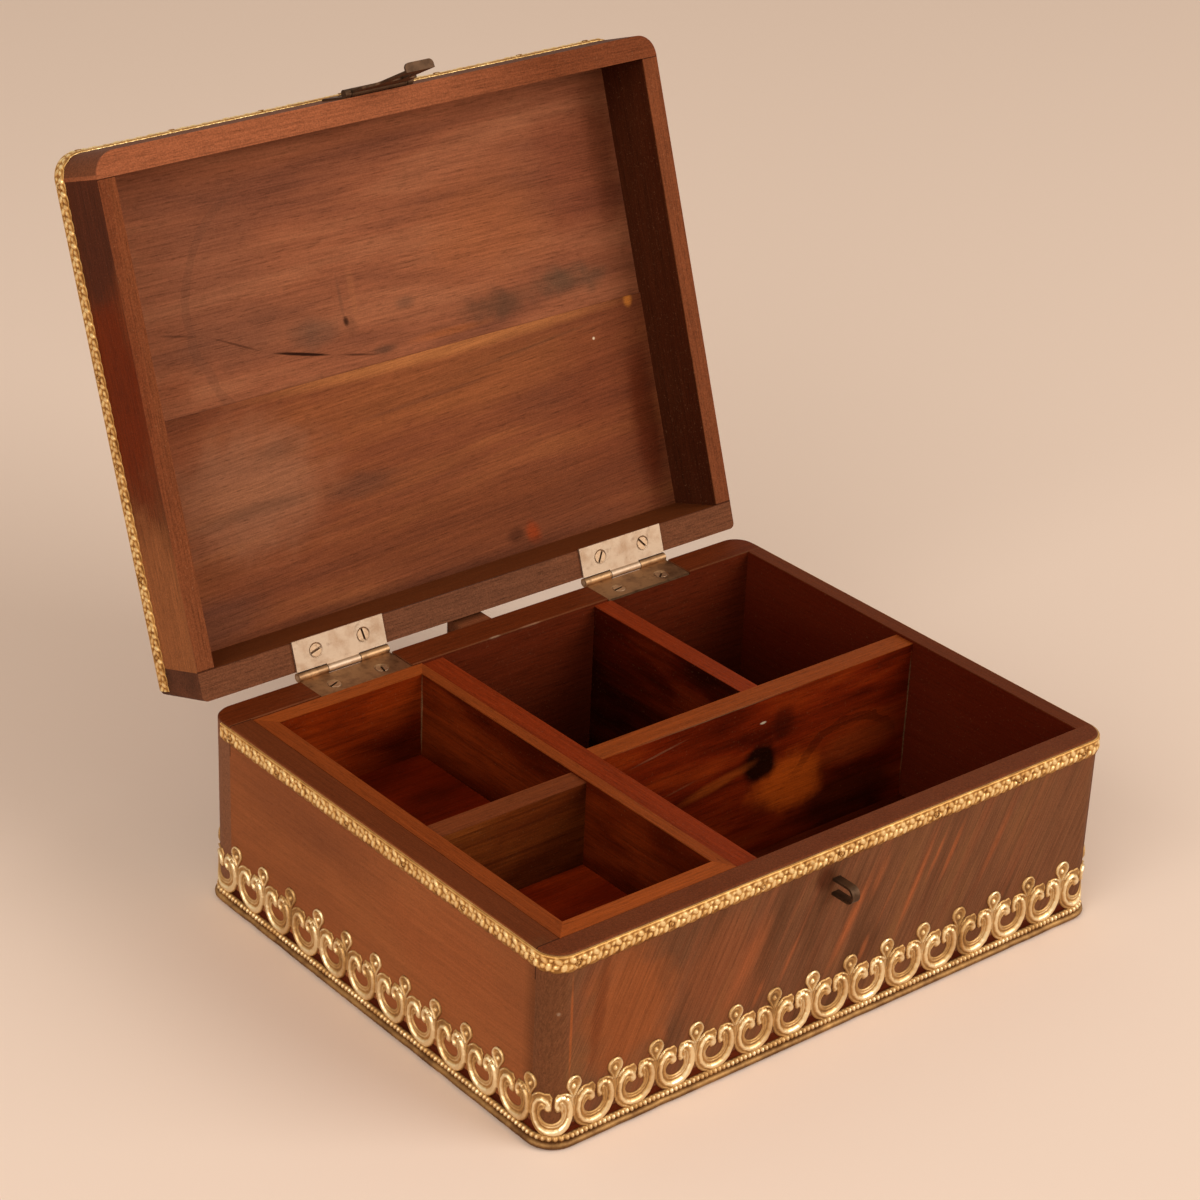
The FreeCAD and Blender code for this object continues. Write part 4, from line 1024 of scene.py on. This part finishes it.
nails = {
    "sides": 10,
    "profile": [(1.25, 0.2, 0.1), (1.2, 0.95, 0.3), (0.95, 1.1, 0.55), (0.7, 0.8, 0.0), (0.5, 0.95, 0.5),
                (0.25, 1.05, 0.7)],
    "front": (-111, -74, -37, -3, 39, 77, 108),
    "left": (80, 52, 12, -19, -50, -84),
}
haspNails = {
    "sides": 12,
    "profile": [(1.5, 0.0, 0.3), (1.4, 0.25, 0.6), (1.0, 0.42, 0.9), (0.5, 0.5, 1.0)],
    "leaf": 0.8,  # its thickness
    "places": ((-14.5, 79.5), (6.5, 79.5), (-4.0, 83.5)),
}


def nailSet(name, kind, places, material, body, matrix):
    points, faces, relief = [], [], []
    for place, normal in places:
        spin(kind["profile"], kind["sides"], facing(place, normal), points, faces, relief)
    reliefMesh(name, points, faces, relief, material, body, (), matrix=matrix)


def trimNailPlaces(height):
    return ([((x, -halfY, height), (0, -1, 0)) for x in nails["front"]]
            + [((side * halfX, y, height), (side, 0, 0)) for y in nails["left"] for side in (-1, 1)])


brassNail = pressedBrass("brassNail", "#e8c080", "#a87840", "#4a2c14")
nailSet("baseTrimNails", nails, trimNailPlaces(67.4), brassNail, "base", None)
nailSet("lidTrimNails", nails, trimNailPlaces(97.2), brassNail, "lid", lidMatrix)
haspPlaces = [((x, -halfY - haspNails["leaf"], z), (0, -1, 0)) for x, z in haspNails["places"]]
nailSet("haspNails", haspNails, haspPlaces, tarnishedSteel, "lid", lidMatrix)

screw = {
    "headRadius": 2.4, "groove": 2.82, "grooveDepth": 0.22, "sunk": 0.03,
    "rounded": 0.12,  # height of the head's worn edge
    "roundedShare": 0.95, "slotHalf": 0.42, "slotDepth": 0.6,
    "cone": 0.98,  # share of the head's radius at the slot's floor
    "coneDepth": 1.2, "neck": 1.4, "neckEnd": 6.0, "tip": 0.2, "length": 9.0, "sides": 24,
    "middles": (-62.8, 64.9), "spread": 10.1,
}


def slottedScrew(matrix, turn, points, faces, relief):
    # a countersunk head cut across by its slot: two half heads, the slot's floor, then cone and shank
    local = matrix @ Matrix.Rotation(math.radians(turn), 4, "Z")
    radius, half, top, floorHeight = screw["headRadius"], screw["slotHalf"], -screw["sunk"], -screw["slotDepth"]
    reach = math.sqrt(radius ** 2 - half ** 2)
    start = math.atan2(half, reach)
    steps = screw["sides"] // 2
    levels = ((floorHeight, 1.0, 0.0), (top - screw["rounded"], 1.0, 0.5), (top, screw["roundedShare"], 1.0))
    for side in (1, -1):
        angles = [start + (math.pi - 2 * start) * i / steps for i in range(steps + 1)]
        arc = [(side * radius * math.cos(angle), side * radius * math.sin(angle)) for angle in angles]
        first, count = len(points), steps + 1
        for height, shrink, tone in levels:
            for x, y in arc:
                onSlot = abs(y) <= half + 1e-6
                points.append(local @ Vector((x * shrink, y if onSlot else y * shrink, height)))
                relief.append(tone)
        for level in range(2):
            for i in range(count):
                a, b = first + level * count + i, first + level * count + (i + 1) % count
                faces.append((a, b, b + count, a + count))
        faces.append([first + 2 * count + i for i in range(count)])
    spin([(screw["groove"], -screw["grooveDepth"], 0.0),
          (radius * screw["cone"], floorHeight, 0.0),
          (screw["neck"], floorHeight - screw["coneDepth"], 0.2),
          (screw["neck"], -screw["neckEnd"], 0.4),
          (screw["tip"], -screw["length"], 0.4)], screw["sides"], matrix, points, faces, relief)
    spin([(radius * screw["cone"], floorHeight, 0.0)], screw["sides"], matrix, points, faces, relief)


def screwSet(name, y, height, normal, turns, body, node, matrix):
    points, faces, relief = [], [], []
    places = [middle + side * screw["spread"] for middle in screw["middles"] for side in (-1, 1)]
    for x, turn in zip(places, turns):
        slottedScrew(facing((x, y, height), normal), turn, points, faces, relief)
    reliefMesh(name, points, faces, relief, screwSteel, body, [node], matrix=matrix, flat=True)


screwSet("baseHingeScrews", 86.5, 70.7, (0, 0, 1), (20, 75, 10, 40), "base", "base_hinge_screws", None)
screwSet("lidHingeScrews", 88.38, 70.85, (0, 0, -1), (15, 100, 60, 130), "lid", "lid_hinge_screws", lidMatrix)
print("nails and screws made")

low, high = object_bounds()
